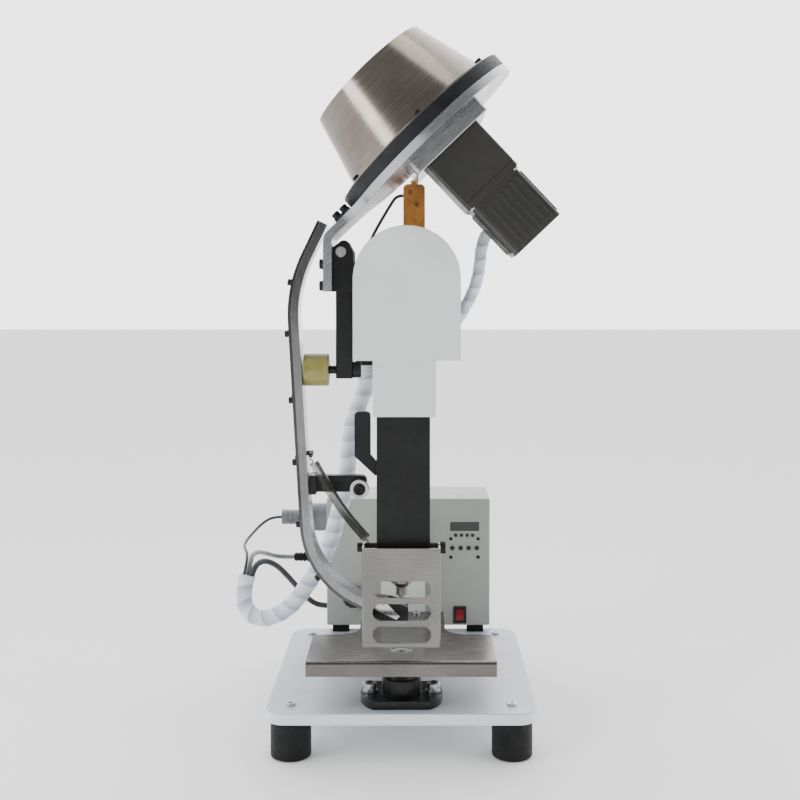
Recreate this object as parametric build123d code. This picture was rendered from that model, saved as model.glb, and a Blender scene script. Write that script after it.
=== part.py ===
"""Automatic capping machine: a bench press that sets metal caps, with a tilted hopper that feeds them.

Millimetres. X runs to the right, Y to the back, Z up. Sizes below are measured from the die axis
on the floor; save() moves every piece so that the frame's origin is under the middle of the machine.
"""

import os
from math import cos, hypot, radians, sin, tan

from build123d import *

os.makedirs("parts", exist_ok=True)

# Place of the die axis in the part's own frame, whose origin is the middle of the footprint.
DIE_AT = (-12.5, -127.5, 0.0)

# Clearances
RUN = 0.05  # radial clearance of a shaft in its bore
SLIP = 0.1  # radial clearance of a screw in its hole
SEAT = 0.3  # gap between a moving face and the face it rests on
OPEN = 1.0  # gap round a piece that moves through a cut-out

# Base plate and feet
BASE_W = 325.0
BASE_D = 350.0
BASE_T = 14.0
BASE_CORNER = 25.0
BASE_FRONT = -50.0
FOOT_R = 24.5
FOOT_H = 46.0
FOOT_INSET = 29.5
FOOT_SCREW_R = 3.0
BASE_TOP = FOOT_H + BASE_T

# Die post and lower die
FLANGE_R = 50.0
FLANGE_T = 10.5
FLANGE_FLAT = 36.7
POST_R = 24.0
POST_TOP = 90.0
POST_SCREW_X = 38.5
POST_SCREW_R = 5.0
DIE_R = 12.0
DIE_TOP = 117.5
DIE_CUP_R = 6.5
DIE_CUP_DEPTH = 3.0

# Work table
TABLE_TOP = 121.0
TABLE_T = 2.5
TABLE_W = 226.0
TABLE_FRONT = -47.0
TABLE_BACK = 63.0
TABLE_LIP = 18.0
TABLE_BEND = 4.0
TABLE_HOLE_R = 14.0
TONGUE_W = 110.0
TONGUE_FILLET = 28.0
TABLE_SCREW_X = 18.0
TABLE_SCREW_R = 3.0

# C-frame
COLUMN_W = 60.0
COLUMN_FRONT = 168.0
COLUMN_BACK = 252.0
ARM_FRONT = 46.0
ARM_BOTTOM = 440.0
ARM_TOP = 620.0
THROAT_FILLET = 40.0
COLUMN_FOOT_W = 110.0
COLUMN_FOOT_T = 12.0
COLUMN_SCREW_X = 42.0
COLUMN_SCREW_R = 5.0

# Head: plate, D-shaped cover, linkage cover and ram housing
HEAD_X = 6.7
HEAD_R = 63.7
HEAD_Z = 571.7
HEAD_BOTTOM = 475.5
HEAD_FRONT = -39.0
SHEET = 1.5
PLATE_INSET = 0.6
PLATE_T = 12.0
HOUSING_X = 2.4
HOUSING_W = 64.0
HOUSING_FRONT = -23.0
HOUSING_BOTTOM = 226.0
HOUSING_TOP = 474.0
LINK_X = 3.6
LINK_W = 75.6
LINK_FRONT = -27.5
LINK_BOTTOM = 408.0
PLATE_FRONT = ARM_FRONT - PLATE_T

# Ram, yoke and punch
RAM_W = 36.0
RAM_D = 30.0
RAM_BOTTOM = 222.0
RAM_TOP = 500.0
STROKE = 58.0
CRANK_R = STROKE / 2
CRANK_Z = 545.0
CRANK_PIN_R = 7.0
CRANK_DISC_R = 44.0
CRANK_DISC_T = 14.0
CRANK_SHAFT_R = 12.0
YOKE_T = 12.0
YOKE_FRONT = -6.0
YOKE_W = 2 * (CRANK_R + CRANK_PIN_R) + 17.0
YOKE_LAG = 6.6  # how far a straight ratio strays from the crank's true cosine, above and below
YOKE_RIM = 6.0
PUNCH_TIP_R = 3.5
PUNCH_R = 7.0
PUNCH_HEAD_R = 12.5
PUNCH_TIP_Z = 185.8
PUNCH_Z = 189.0
PUNCH_CONE_Z = 199.0
HOLDER_R = 14.0

# Guard
GUARD_W = 93.0
GUARD_T = 2.0
GUARD_FRONT = -39.0
GUARD_BOTTOM = 135.4
GUARD_TOP = 253.4
GUARD_RETURN = 10.0
GUARD_BEND = 3.0
SLOT_LEFT = -34.0
SLOT_RIGHT = 35.5
SLOT_H = 19.8
SLOT_ZS = (204.4, 177.2, 150.4)
GUARD_PIVOT_Y = -16.0
GUARD_PIVOT_Z = 250.0
GUARD_PIN_R = 4.0
EAR_R = 8.5

# Feeder: pivot, stop arm and bumper
PIVOT_X = -72.0
PIVOT_Z = 604.6
PIVOT_R = 5.0
STOP_ARM_LEFT = -79.0
STOP_ARM_RIGHT = -59.0
STOP_ARM_HALF = 10.0
STOP_ARM_BOTTOM = 452.5
STOP_EYE_R = 9.0
STOP_WEB_Z = (495.0, 550.0)
STOP_Z = 462.5
STOP_STUD_R = 5.0
STOP_HEAD_R = 9.7
BUMPER_R = 19.5
BUMPER_RIGHT = -88.0
CHEEK_T = 12.0
CHEEK_RIGHT = -57.0
CHEEK_BOTTOM = 557.0
CHEEK_TOP = 622.0
CLEVIS_SCREW_L = 16.0
CLEVIS_SCREW_ZS = (564.0, 590.0)
CLEVIS_SCREW_Y = STOP_ARM_HALF + SEAT + CHEEK_T / 2

# Feeder: hopper plate, ring, drum and gear motor, in the hopper's own tilted frame
TILT = 43.6
HOPPER_X = 21.5
HOPPER_Z = 753.0
PLATE_R = 125.0
RING_T = 16.0
RING_BORE_R = 92.0
HOPPER_PLATE_T = 10.0
HOPPER_TONGUE_HALF = 45.0
HOPPER_FILLET = 40.0
HOPPER_TONGUE_X = -86.5
HOPPER_BEND_R = 14.0
DRUM_BASE_R = 105.0
DRUM_MOUTH_R = 81.5
DRUM_H = 88.0
DRUM_SHEET = 1.5
DRUM_FLANGE_R = 117.0
MOUNT_W = 112.0
MOUNT_T = 17.0
MOTOR_U = 12.0
GEARBOX_W = 80.0
GEARBOX_H = 62.0
MOTOR_H = 85.0
MOTOR_FLANGE_T = 8.0
SHAFT_R = 6.0

# Feeder: chute
CHUTE_W = 38.0
CHUTE_T = 13.0
CHUTE_COVER_T = 3.5
CHUTE_GROOVE_W = 26.0
CHUTE_GROOVE_T = 5.0
CHUTE_POINTS = ((-94.0, 639.5), (-131.5, 562.0), (-112.0, 214.5), (-43.0, 180.0))
CHUTE_RADII = (162.0, 108.0)
ENTRY_T = 6.0
ENTRY_L = 24.0

# Feeder: lever, cam roller and return spring
LEVER_Z = 325.0
LEVER_H = 20.0
LEVER_RIGHT = -42.0
LEVER_HALF = 6.0
ROLLER_X = -50.6
ROLLER_Z = 319.5
ROLLER_R = 11.5
ROLLER_BORE_R = 4.0
ROLLER_FRONT = -16.0
ROLLER_BACK = -7.0
SPRING_Y = -23.0
SPRING_R = 6.25
SPRING_WIRE = 1.6
SPRING_TOP = (-104.0, 352.6)
SPRING_BOTTOM = (-42.5, 263.0)

# Cam plate on the ram
CAM_LEFT = -56.4
CAM_RIGHT = -37.0
CAM_TOP = 413.0
CAM_BEND_Z = 359.5
CAM_FOOT_Z = 336.5
CAM_NECK_Z = 354.0
CAM_FRONT = -15.5
CAM_BACK = -7.5

# Control box and what is on its front
BOX_LEFT = -112.0
BOX_RIGHT = 125.0
BOX_FRONT = 277.0
BOX_BACK = 380.0
BOX_BOTTOM = 71.0
BOX_TOP = 256.0
BOX_SHEET = 2.0
PANEL_X = 88.5
DISPLAY_W = 42.0
DISPLAY_H = 13.0
DISPLAY_Z = 215.5
LED_XS = (75.6, 83.8, 92.2, 100.2)
LED_Z = 202.6
LED_R = 2.5
BUTTON_XS = (70.8, 82.8, 94.4, 106.4)
BUTTON_Z = 184.0
BUTTON_R = 3.0
BUTTON_PROUD = 2.2
PANEL_SCREW_XS = (68.4, 108.1)
PANEL_SCREW_ZS = (170.7, 197.5)
BOARD_Y = 8.0
SWITCH_X = 81.5
SWITCH_Z = 86.5
SWITCH_W = 19.0
SWITCH_H = 25.0
KNOB_X = -73.0
KNOB_Z = 115.0
KNOB_R = 15.0
KNOB_H = 16.0

# Sensor on the head
SENSOR_X = 15.15
SENSOR_W = 28.9
SENSOR_FRONT = PLATE_R + 1.0  # behind the hopper's rim, so the feeder swings past it
SENSOR_D = 28.0
SENSOR_TOP = 698.2

MIN = Align.MIN
MID = Align.CENTER


def save(name, shape):
    """Write one node, moved into the part's own frame."""
    export_step(Pos(*DIE_AT) * shape, f"parts/{name}.step")


def block(x, y, z):
    """A box between the two values of each axis."""
    size = (x[1] - x[0], y[1] - y[0], z[1] - z[0])
    return Pos((x[0] + x[1]) / 2, (y[0] + y[1]) / 2, (z[0] + z[1]) / 2) * Box(*size)


def rod(start, end, radius):
    """A cylinder from one point to another."""
    axis = Vector(*end) - Vector(*start)
    return Plane(origin=start, z_dir=axis) * Cylinder(radius, axis.length, align=(MID, MID, MIN))


def upright(x, y, z, radius):
    """A vertical cylinder between two heights."""
    return rod((x, y, z[0]), (x, y, z[1]), radius)


def cap_screw(start, end, shank_r, head_r, head_h):
    """A socket cap screw: its shank runs from start to end, and its head stands beyond start."""
    axis = (Vector(*end) - Vector(*start)).normalized()
    top = Vector(*start) - axis * head_h
    head = rod(tuple(top), start, head_r)
    head = chamfer(head.edges().filter_by(GeomType.CIRCLE).sort_by_distance(top)[:1], head_h * 0.12)
    well = Plane(origin=top, z_dir=axis) * extrude(RegularPolygon(head_r * 0.55, 6), head_h * 0.55)
    return head + rod(start, end, shank_r) - well


def wall(points, y, radii=None):
    """An outline in XZ, pulled from one depth to another; radii round its corners in order."""
    line = Polyline(*points, close=True) if radii is None else FilletPolyline(*points, radius=radii, close=True)
    return deep(make_face(Plane.XZ * line), y)


def deep(face, y):
    """A face in the XZ plane, pulled from one depth to another."""
    return Pos(0, y[0], 0) * extrude(face, y[1] - y[0], dir=(0, 1, 0))


def together(pieces):
    """Separate solids of one node."""
    return Compound([solid for piece in pieces for solid in piece.solids()])


def edges_along(shape, axis):
    """The straight edges that run along an axis."""
    return shape.edges().filter_by(axis)


def foot_places():
    """Centres of the four feet."""
    half = BASE_W / 2 - FOOT_INSET
    return [(x, y) for x in (-half, half) for y in (BASE_FRONT + FOOT_INSET, BASE_FRONT + BASE_D - FOOT_INSET)]


# ---------------------------------------------------------------- base, feet, die post and table


def base_plate():
    """Flat steel plate with round corners, bored for the feet, the post and the column."""
    middle = BASE_FRONT + BASE_D / 2
    plate = extrude(Pos(0, middle, FOOT_H) * RectangleRounded(BASE_W, BASE_D, BASE_CORNER), BASE_T)
    plate = fillet(plate.faces().sort_by(Axis.Z)[-1].edges(), 1.5)
    plate = chamfer(plate.faces().sort_by(Axis.Z)[0].edges(), 0.8)
    for x, y in foot_places():
        plate -= upright(x, y, (FOOT_H, BASE_TOP), FOOT_SCREW_R + SLIP)
    for x in (-POST_SCREW_X, POST_SCREW_X):
        plate -= upright(x, 0, (FOOT_H, BASE_TOP), POST_SCREW_R + SLIP)
    for x, y in column_screw_places():
        plate -= upright(x, y, (FOOT_H, BASE_TOP), COLUMN_SCREW_R + SLIP)
    return plate


def foot(x, y):
    """Rubber foot with a threaded hole for its screw."""
    body = upright(x, y, (0, FOOT_H), FOOT_R)
    body = fillet(body.edges().sort_by(Axis.Z)[0], 3)
    body = fillet(body.edges().sort_by(Axis.Z)[-1], 1.2)
    return body - upright(x, y, (FOOT_H - 20, FOOT_H), FOOT_SCREW_R + SLIP)


def rubber_feet():
    """Four round feet under the base, and two strips under the control box."""
    strips = [block((x - 12, x + 12), (BOX_FRONT + 6, BASE_FRONT + BASE_D - 4), (BASE_TOP, BOX_BOTTOM)) for x in (-92, 104)]
    return together([*(foot(x, y) for x, y in foot_places()), *strips])


def foot_screws():
    """Button-head screws that hold the feet."""
    return [cap_screw((x, y, BASE_TOP), (x, y, FOOT_H - 18), FOOT_SCREW_R, 5.4, 3.2) for x, y in foot_places()]


def die_post():
    """Round flange with a flat at the front and the back, and the post that holds the lower die."""
    flange = upright(0, 0, (BASE_TOP, BASE_TOP + FLANGE_T), FLANGE_R)
    flange &= block((-60, 60), (-FLANGE_FLAT, FLANGE_FLAT), (BASE_TOP, BASE_TOP + FLANGE_T))
    flange = fillet(flange.faces().sort_by(Axis.Z)[-1].edges(), 1.0)
    post = upright(0, 0, (BASE_TOP + FLANGE_T, POST_TOP), POST_R)
    post = chamfer(post.faces().sort_by(Axis.Z)[-1].edges(), 1.5)
    body = flange + post - upright(0, 0, (BASE_TOP + 6, POST_TOP), DIE_R + RUN)
    for x in (-POST_SCREW_X, POST_SCREW_X):
        body -= upright(x, 0, (BASE_TOP, BASE_TOP + FLANGE_T), POST_SCREW_R + SLIP)
    return body


def post_screws():
    """Two cap screws and their washers."""
    top = BASE_TOP + FLANGE_T
    pieces = []
    for x in (-POST_SCREW_X, POST_SCREW_X):
        washer = upright(x, 0, (top, top + 1.8), 9.5) - upright(x, 0, (top, top + 1.8), POST_SCREW_R + SLIP)
        pieces += [washer, cap_screw((x, 0, top + 1.8), (x, 0, FOOT_H + 1), POST_SCREW_R, 7.8, 9.0)]
    return pieces


def lower_die():
    """Hardened pin with a dished cup in its top face."""
    body = upright(0, 0, (BASE_TOP + 6, DIE_TOP), DIE_R)
    body = chamfer(body.faces().sort_by(Axis.Z)[-1].edges(), 1.5)
    body -= upright(0, 0, (DIE_TOP - DIE_CUP_DEPTH, DIE_TOP), DIE_CUP_R)
    return body + upright(0, 0, (DIE_TOP - DIE_CUP_DEPTH, DIE_TOP - 0.6), 2.0)


def work_table():
    """Stainless sheet: a wide front with a folded lip, and a tongue that reaches back to the column."""
    half, tongue = TABLE_W / 2, TONGUE_W / 2
    outline = Polyline(
        (-half, TABLE_FRONT + TABLE_BEND),
        (half, TABLE_FRONT + TABLE_BEND),
        (half, TABLE_BACK),
        (tongue, TABLE_BACK),
        (tongue, COLUMN_FRONT),
        (-tongue, COLUMN_FRONT),
        (-tongue, TABLE_BACK),
        (-half, TABLE_BACK),
        close=True,
    )
    flat = make_face(outline)
    inner = [v for v in flat.vertices() if abs(abs(v.X) - tongue) < 0.1 and abs(v.Y - TABLE_BACK) < 0.1]
    outer = [v for v in flat.vertices() if abs(abs(v.X) - half) < 0.1 and abs(v.Y - TABLE_BACK) < 0.1]
    flat = fillet(inner, TONGUE_FILLET)
    outer = [v for v in flat.vertices() if abs(abs(v.X) - half) < 0.1 and abs(v.Y - TABLE_BACK) < 0.1]
    flat = fillet(outer, 6)
    sheet = extrude(Pos(0, 0, TABLE_TOP - TABLE_T) * flat, TABLE_T)
    bend_at = (0, TABLE_FRONT + TABLE_BEND, TABLE_TOP - TABLE_BEND)
    across = Rot(0, 90, 0) * Cylinder(TABLE_BEND, TABLE_W) - Rot(0, 90, 0) * Cylinder(TABLE_BEND - TABLE_T, TABLE_W)
    bend = Pos(*bend_at) * (across & (Pos(0, -TABLE_BEND, TABLE_BEND) * Box(TABLE_W, 2 * TABLE_BEND, 2 * TABLE_BEND)))
    lip = block(
        (-half, half), (TABLE_FRONT, TABLE_FRONT + TABLE_T), (TABLE_TOP - TABLE_LIP, TABLE_TOP - TABLE_BEND)
    )
    table = sheet + bend + lip - upright(0, 0, (TABLE_TOP - TABLE_T, TABLE_TOP), TABLE_HOLE_R)
    for x in (-TABLE_SCREW_X, TABLE_SCREW_X):
        table -= upright(x, COLUMN_FRONT - 10, (TABLE_TOP - TABLE_T, TABLE_TOP), TABLE_SCREW_R + SLIP)
    return table


def table_screws():
    """Two screws through the tongue into the column's shelf."""
    top = TABLE_TOP - TABLE_T
    pieces = []
    for x in (-TABLE_SCREW_X, TABLE_SCREW_X):
        y = COLUMN_FRONT - 10
        pieces.append(cap_screw((x, y, TABLE_TOP), (x, y, top - 7), TABLE_SCREW_R, 5.2, 3.0))
    return pieces


# ---------------------------------------------------------------- C-frame and head


def column_screw_places():
    """Four bolts through the column's foot."""
    middle = (COLUMN_FRONT + COLUMN_BACK) / 2
    return [(x, middle + dy) for x in (-COLUMN_SCREW_X, COLUMN_SCREW_X) for dy in (-26, 26)]


def c_frame():
    """Cast column with a foot, and the arm that reaches over the throat."""
    outline = make_face(
        Plane.YZ
        * Polyline(
            (COLUMN_FRONT, BASE_TOP),
            (COLUMN_BACK, BASE_TOP),
            (COLUMN_BACK, ARM_TOP),
            (ARM_FRONT, ARM_TOP),
            (ARM_FRONT, ARM_BOTTOM),
            (COLUMN_FRONT, ARM_BOTTOM),
            close=True,
        )
    )
    corner = outline.vertices().sort_by_distance((0, COLUMN_FRONT, ARM_BOTTOM))[0]
    outline = fillet(corner, THROAT_FILLET)
    back = outline.vertices().sort_by_distance((0, COLUMN_BACK, ARM_TOP))[0]
    outline = fillet(back, THROAT_FILLET)
    body = Pos(-COLUMN_W / 2, 0, 0) * extrude(outline, COLUMN_W, dir=(1, 0, 0))
    foot_x = COLUMN_FOOT_W / 2
    body += block((-foot_x, foot_x), (COLUMN_FRONT, COLUMN_BACK), (BASE_TOP, BASE_TOP + COLUMN_FOOT_T))
    body -= rod((0, ARM_FRONT, CRANK_Z), (0, COLUMN_BACK, CRANK_Z), CRANK_SHAFT_R + RUN)
    for x, y in column_screw_places():
        body -= upright(x, y, (BASE_TOP, BASE_TOP + COLUMN_FOOT_T), COLUMN_SCREW_R + SLIP)
    body += block((-COLUMN_W / 2 + 8, COLUMN_W / 2 - 8), (COLUMN_BACK, BOX_FRONT), (130, 200))
    top = TABLE_TOP - TABLE_T
    body += block((-COLUMN_W / 2, COLUMN_W / 2), (COLUMN_FRONT - 30, COLUMN_FRONT), (top - 14, top))
    for x in (-TABLE_SCREW_X, TABLE_SCREW_X):
        body -= upright(x, COLUMN_FRONT - 10, (top - 10, top), TABLE_SCREW_R + SLIP)
    return body


def column_screws():
    """Four cap screws that hold the column to the base."""
    top = BASE_TOP + COLUMN_FOOT_T
    places = column_screw_places()
    return [cap_screw((x, y, top), (x, y, FOOT_H + 1), COLUMN_SCREW_R, 7.8, 9.0) for x, y in places]


def frame_screws():
    """Screws of the feet, the die post, the column and the table."""
    return together([*foot_screws(), *post_screws(), *column_screws(), *table_screws()])


def head_outline(inset):
    """D-shape of the head: a half circle on straight sides."""
    r = HEAD_R - inset
    low = HEAD_BOTTOM + inset
    left, right = HEAD_X - r, HEAD_X + r
    line = Polyline((left, HEAD_Z), (left, low), (right, low), (right, HEAD_Z))
    arc = ThreePointArc((right, HEAD_Z), (HEAD_X, HEAD_Z + r), (left, HEAD_Z))
    return make_face(Plane.XZ * (line + arc))


def head_slab(inset, y):
    """The head's outline between two depths."""
    return deep(head_outline(inset), y)


def head_plate():
    """Black steel plate that carries the cover, the ram housing and the stop arm."""
    plate = head_slab(PLATE_INSET, (PLATE_FRONT, ARM_FRONT))
    plate += block((-26, 30.8), (PLATE_FRONT, ARM_FRONT), (HOUSING_BOTTOM + 30, HEAD_BOTTOM + 5))
    return plate - rod((0, PLATE_FRONT, CRANK_Z), (0, ARM_FRONT, CRANK_Z), CRANK_SHAFT_R + RUN)


def head_cover():
    """White sheet-metal cover over the crank, open at the back and where the ram passes."""
    cover = head_slab(0, (HEAD_FRONT, PLATE_FRONT))
    front = cover.faces().sort_by(Axis.Y)[0]
    cover = fillet(front.edges(), 1.2)
    cover -= head_slab(SHEET, (HEAD_FRONT + SHEET, PLATE_FRONT))
    half = LINK_W / 2 - 4
    return cover - block((LINK_X - half, LINK_X + half), (LINK_FRONT + 3, PLATE_FRONT), (470, 480))


def linkage_cover():
    """White box round the top of the ram housing."""
    outer = block(
        (LINK_X - LINK_W / 2, LINK_X + LINK_W / 2), (LINK_FRONT, PLATE_FRONT - SEAT), (LINK_BOTTOM, HEAD_BOTTOM)
    )
    outer = fillet(edges_along(outer, Axis.Z).sort_by(Axis.Y)[:2], 2.5)
    half = LINK_W / 2 - SHEET
    return outer - block((LINK_X - half, LINK_X + half), (LINK_FRONT + SHEET, PLATE_FRONT), (LINK_BOTTOM, HEAD_BOTTOM))


def ram_housing():
    """Black square guide for the ram, with a slot at the left for the cam plate."""
    side = (HOUSING_X - HOUSING_W / 2, HOUSING_X + HOUSING_W / 2)
    body = block(side, (HOUSING_FRONT, PLATE_FRONT), (HOUSING_BOTTOM, HOUSING_TOP))
    body = chamfer(edges_along(body, Axis.Z), 1.0)
    half_w, half_d = RAM_W / 2 + RUN, RAM_D / 2 + RUN
    body -= block((-half_w, half_w), (-half_d, half_d), (HOUSING_BOTTOM, HOUSING_TOP))
    low = CAM_FOOT_Z - STROKE - 3
    body -= block((side[0], 0), (CAM_FRONT - OPEN, CAM_BACK + OPEN), (low, CAM_NECK_Z + 2))
    for x in side:
        inner = x - 8 if x > 0 else x + 8
        body -= rod((x, GUARD_PIVOT_Y, GUARD_PIVOT_Z), (inner, GUARD_PIVOT_Y, GUARD_PIVOT_Z), 3.0 + SLIP)
    return body


def drive_motor():
    """Drive gear motor on the back of the frame, with its shaft through the arm to the crank."""
    body = rod((0, COLUMN_BACK, CRANK_Z), (0, COLUMN_BACK + 16, CRANK_Z), 60)
    body += rod((0, COLUMN_BACK + 16, CRANK_Z), (0, COLUMN_BACK + 118, CRANK_Z), 52)
    body = fillet(body.edges().sort_by(Axis.Y)[-1], 6)
    for i in range(7):
        y = COLUMN_BACK + 30 + i * 11
        body -= rod((0, y, CRANK_Z), (0, y + 5, CRANK_Z), 56) - rod((0, y, CRANK_Z), (0, y + 5, CRANK_Z), 49)
    return body


def crank():
    """Crank disc with its shaft and an offset pin at the front."""
    back = YOKE_FRONT + YOKE_T + 6
    disc = rod((0, back, CRANK_Z), (0, back + CRANK_DISC_T, CRANK_Z), CRANK_DISC_R)
    disc = chamfer(disc.edges().filter_by(GeomType.CIRCLE), 1.5)
    shaft = rod((0, back, CRANK_Z), (0, COLUMN_BACK - SEAT, CRANK_Z), CRANK_SHAFT_R)
    pin_z = CRANK_Z + CRANK_R
    return disc + shaft + rod((0, YOKE_FRONT, pin_z), (0, back, pin_z), CRANK_PIN_R)


def yoke():
    """Plate over the ram with the slot that the crank pin runs in."""
    z = CRANK_Z + CRANK_R
    half_h = CRANK_PIN_R + YOKE_LAG + 0.6
    half_w = CRANK_R + CRANK_PIN_R + 1.5
    y = (YOKE_FRONT, YOKE_FRONT + YOKE_T)
    low = z - half_h - YOKE_RIM
    plate = block((-YOKE_W / 2, YOKE_W / 2), y, (low, z + half_h + YOKE_RIM))
    plate = fillet(edges_along(plate, Axis.Y), 8)
    plate -= block((-half_w, half_w), y, (z - half_h, z + half_h))
    return plate + block((-15, 15), y, (RAM_TOP, low))


def ram():
    """Square steel ram with the crank's yoke welded on its top."""
    body = block((-RAM_W / 2, RAM_W / 2), (-RAM_D / 2, RAM_D / 2), (RAM_BOTTOM, RAM_TOP))
    body = chamfer(body.faces().sort_by(Axis.Z)[0].edges(), 0.8)
    return body - upright(0, 0, (RAM_BOTTOM, RAM_BOTTOM + 22), 6 + RUN) + yoke()


def holder():
    """Round holder on the ram's end, with a spigot that goes up into it."""
    return upright(0, 0, (204.5, RAM_BOTTOM), HOLDER_R) + upright(0, 0, (RAM_BOTTOM, RAM_BOTTOM + 20), 6)


def punch():
    """Stepped punch: tip, body, 45 degree cone and round holder."""
    body = upright(0, 0, (PUNCH_TIP_Z, PUNCH_Z), PUNCH_TIP_R)
    body += upright(0, 0, (PUNCH_Z, PUNCH_CONE_Z), PUNCH_R)
    rise = PUNCH_HEAD_R - PUNCH_R
    body += Pos(0, 0, PUNCH_CONE_Z) * Cone(PUNCH_R, PUNCH_HEAD_R, rise, align=(MID, MID, MIN))
    return body + holder()


def cam_plate():
    """Hooked cam plate: an upright bar whose slanted foot runs into the housing and onto the ram."""
    neck_end = -RAM_W / 2
    foot = (-32.0, CAM_FOOT_Z)
    points = (
        (CAM_LEFT, CAM_TOP),
        (CAM_RIGHT, CAM_TOP),
        (CAM_RIGHT, 361.0),
        (-31.0, CAM_NECK_Z),
        (neck_end, CAM_NECK_Z),
        (neck_end, CAM_FOOT_Z),
        foot,
        (CAM_LEFT, CAM_BEND_Z),
    )
    body = wall(points, (CAM_FRONT, CAM_BACK))
    top = [e for e in edges_along(body, Axis.Y) if e.center().Z > CAM_TOP - 1]
    return fillet(top, 5)


# ---------------------------------------------------------------- guard


def guard():
    """Bent stainless guard with three slots and two ears on the hinge pins."""
    half = GUARD_W / 2
    back = GUARD_FRONT + GUARD_RETURN
    outer = block((-half, half), (GUARD_FRONT, back), (GUARD_BOTTOM, GUARD_TOP))
    outer = fillet(edges_along(outer, Axis.Z).sort_by(Axis.Y)[:2], GUARD_BEND)
    inner = block((GUARD_T - half, half - GUARD_T), (GUARD_FRONT + GUARD_T, back), (GUARD_BOTTOM, GUARD_TOP))
    body = outer - inner
    for z in SLOT_ZS:
        middle = (SLOT_LEFT + SLOT_RIGHT) / 2
        slot = Plane(origin=(middle, 0, z), z_dir=(0, -1, 0), x_dir=(1, 0, 0)) * SlotOverall(SLOT_RIGHT - SLOT_LEFT, SLOT_H)
        body -= deep(slot, (GUARD_FRONT - 1, back))
    for x in ((-half, GUARD_T - half), (half - GUARD_T, half)):
        ear = block(x, (back - 1, GUARD_PIVOT_Y), (GUARD_PIVOT_Z - EAR_R, GUARD_TOP))
        ear += rod((x[0], GUARD_PIVOT_Y, GUARD_PIVOT_Z), (x[1], GUARD_PIVOT_Y, GUARD_PIVOT_Z), EAR_R)
        ear -= block(x, (back, 0), (GUARD_TOP, GUARD_TOP + 20))
        hole = rod((x[0], GUARD_PIVOT_Y, GUARD_PIVOT_Z), (x[1], GUARD_PIVOT_Y, GUARD_PIVOT_Z), GUARD_PIN_R + RUN)
        body = body + ear - hole
    return body


def guard_pins():
    """Shoulder screws in the housing's sides that the guard hinges on."""
    half = GUARD_W / 2
    right = HOUSING_X + HOUSING_W / 2
    left = HOUSING_X - HOUSING_W / 2
    y, z = GUARD_PIVOT_Y, GUARD_PIVOT_Z
    pieces = []
    for side, wall_x, head_r in ((1, right, 7.5), (-1, left, 3.9)):
        stem = rod((wall_x, y, z), (side * (half - GUARD_T - SEAT), y, z), 5.6)
        shoulder = rod((side * (half - GUARD_T - SEAT), y, z), (side * (half + SEAT), y, z), GUARD_PIN_R)
        head = rod((side * (half + SEAT), y, z), (side * (half + 6.5), y, z), max(head_r, 5.6))
        thread = rod((wall_x, y, z), (wall_x - side * 7, y, z), 3.0)
        pieces.append(stem + shoulder + head + thread)
    return together(pieces)


# ---------------------------------------------------------------- stop arm and bumper


def stop_arm():
    """Black arm: an eye for the feeder's pivot, a bar down to the stop screw, and a flange on the head plate."""
    bar = block((STOP_ARM_LEFT, STOP_ARM_RIGHT), (-STOP_ARM_HALF, STOP_ARM_HALF), (STOP_ARM_BOTTOM, PIVOT_Z - 12))
    bar = fillet(edges_along(bar, Axis.Z), 1.5)
    y = (-STOP_ARM_HALF, STOP_ARM_HALF)
    eye = rod((PIVOT_X, y[0], PIVOT_Z), (PIVOT_X, y[1], PIVOT_Z), STOP_EYE_R)
    neck = block((PIVOT_X - 7, PIVOT_X + STOP_EYE_R), y, (PIVOT_Z - 14, PIVOT_Z))
    web = block((STOP_ARM_LEFT, STOP_ARM_RIGHT), (STOP_ARM_HALF - 1, ARM_FRONT + 10), STOP_WEB_Z)
    flange = block((STOP_ARM_LEFT, -COLUMN_W / 2 - 2), (ARM_FRONT, ARM_FRONT + 10), STOP_WEB_Z)
    body = bar + eye + neck + web + flange
    body -= rod((PIVOT_X, y[0], PIVOT_Z), (PIVOT_X, y[1], PIVOT_Z), PIVOT_R + RUN)
    return body - rod((STOP_ARM_LEFT, 0, STOP_Z), (STOP_ARM_RIGHT, 0, STOP_Z), STOP_STUD_R + SLIP)


def stop_screw():
    """Stop screw with a knurled head; it goes through the arm into the bumper."""
    stud = rod((BUMPER_RIGHT - 14, 0, STOP_Z), (STOP_ARM_RIGHT, 0, STOP_Z), STOP_STUD_R)
    head = rod((STOP_ARM_RIGHT, 0, STOP_Z), (STOP_ARM_RIGHT + 10, 0, STOP_Z), STOP_HEAD_R)
    return stud + chamfer(head.edges().filter_by(GeomType.CIRCLE), 0.8)


def chute_face_x(z):
    """X of the chute's inner face on its long straight run."""
    (x1, z1), (x2, z2) = CHUTE_POINTS[1:3]
    run = hypot(x2 - x1, z2 - z1)
    return x1 + (z - z1) * (x2 - x1) / (z2 - z1) + CHUTE_T / 2 * run / abs(z2 - z1)


def bumper():
    """Soft bumper that the chute rests against."""
    left = chute_face_x(STOP_Z - BUMPER_R) + SEAT
    body = rod((left, 0, STOP_Z), (BUMPER_RIGHT, 0, STOP_Z), BUMPER_R)
    body = fillet(body.edges().filter_by(GeomType.CIRCLE), 1.5)
    return body - rod((BUMPER_RIGHT - 15, 0, STOP_Z), (BUMPER_RIGHT, 0, STOP_Z), STOP_STUD_R + SLIP)


# ---------------------------------------------------------------- feeder: hopper

HOPPER = Location((HOPPER_X, 0, HOPPER_Z), (0, -TILT, 0))
PLATE_LOW = -RING_T - HOPPER_PLATE_T
MOUNT_LOW = PLATE_LOW - MOUNT_T
GEARBOX_LOW = MOUNT_LOW - GEARBOX_H
MOTOR_LOW = GEARBOX_LOW - MOTOR_H


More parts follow.
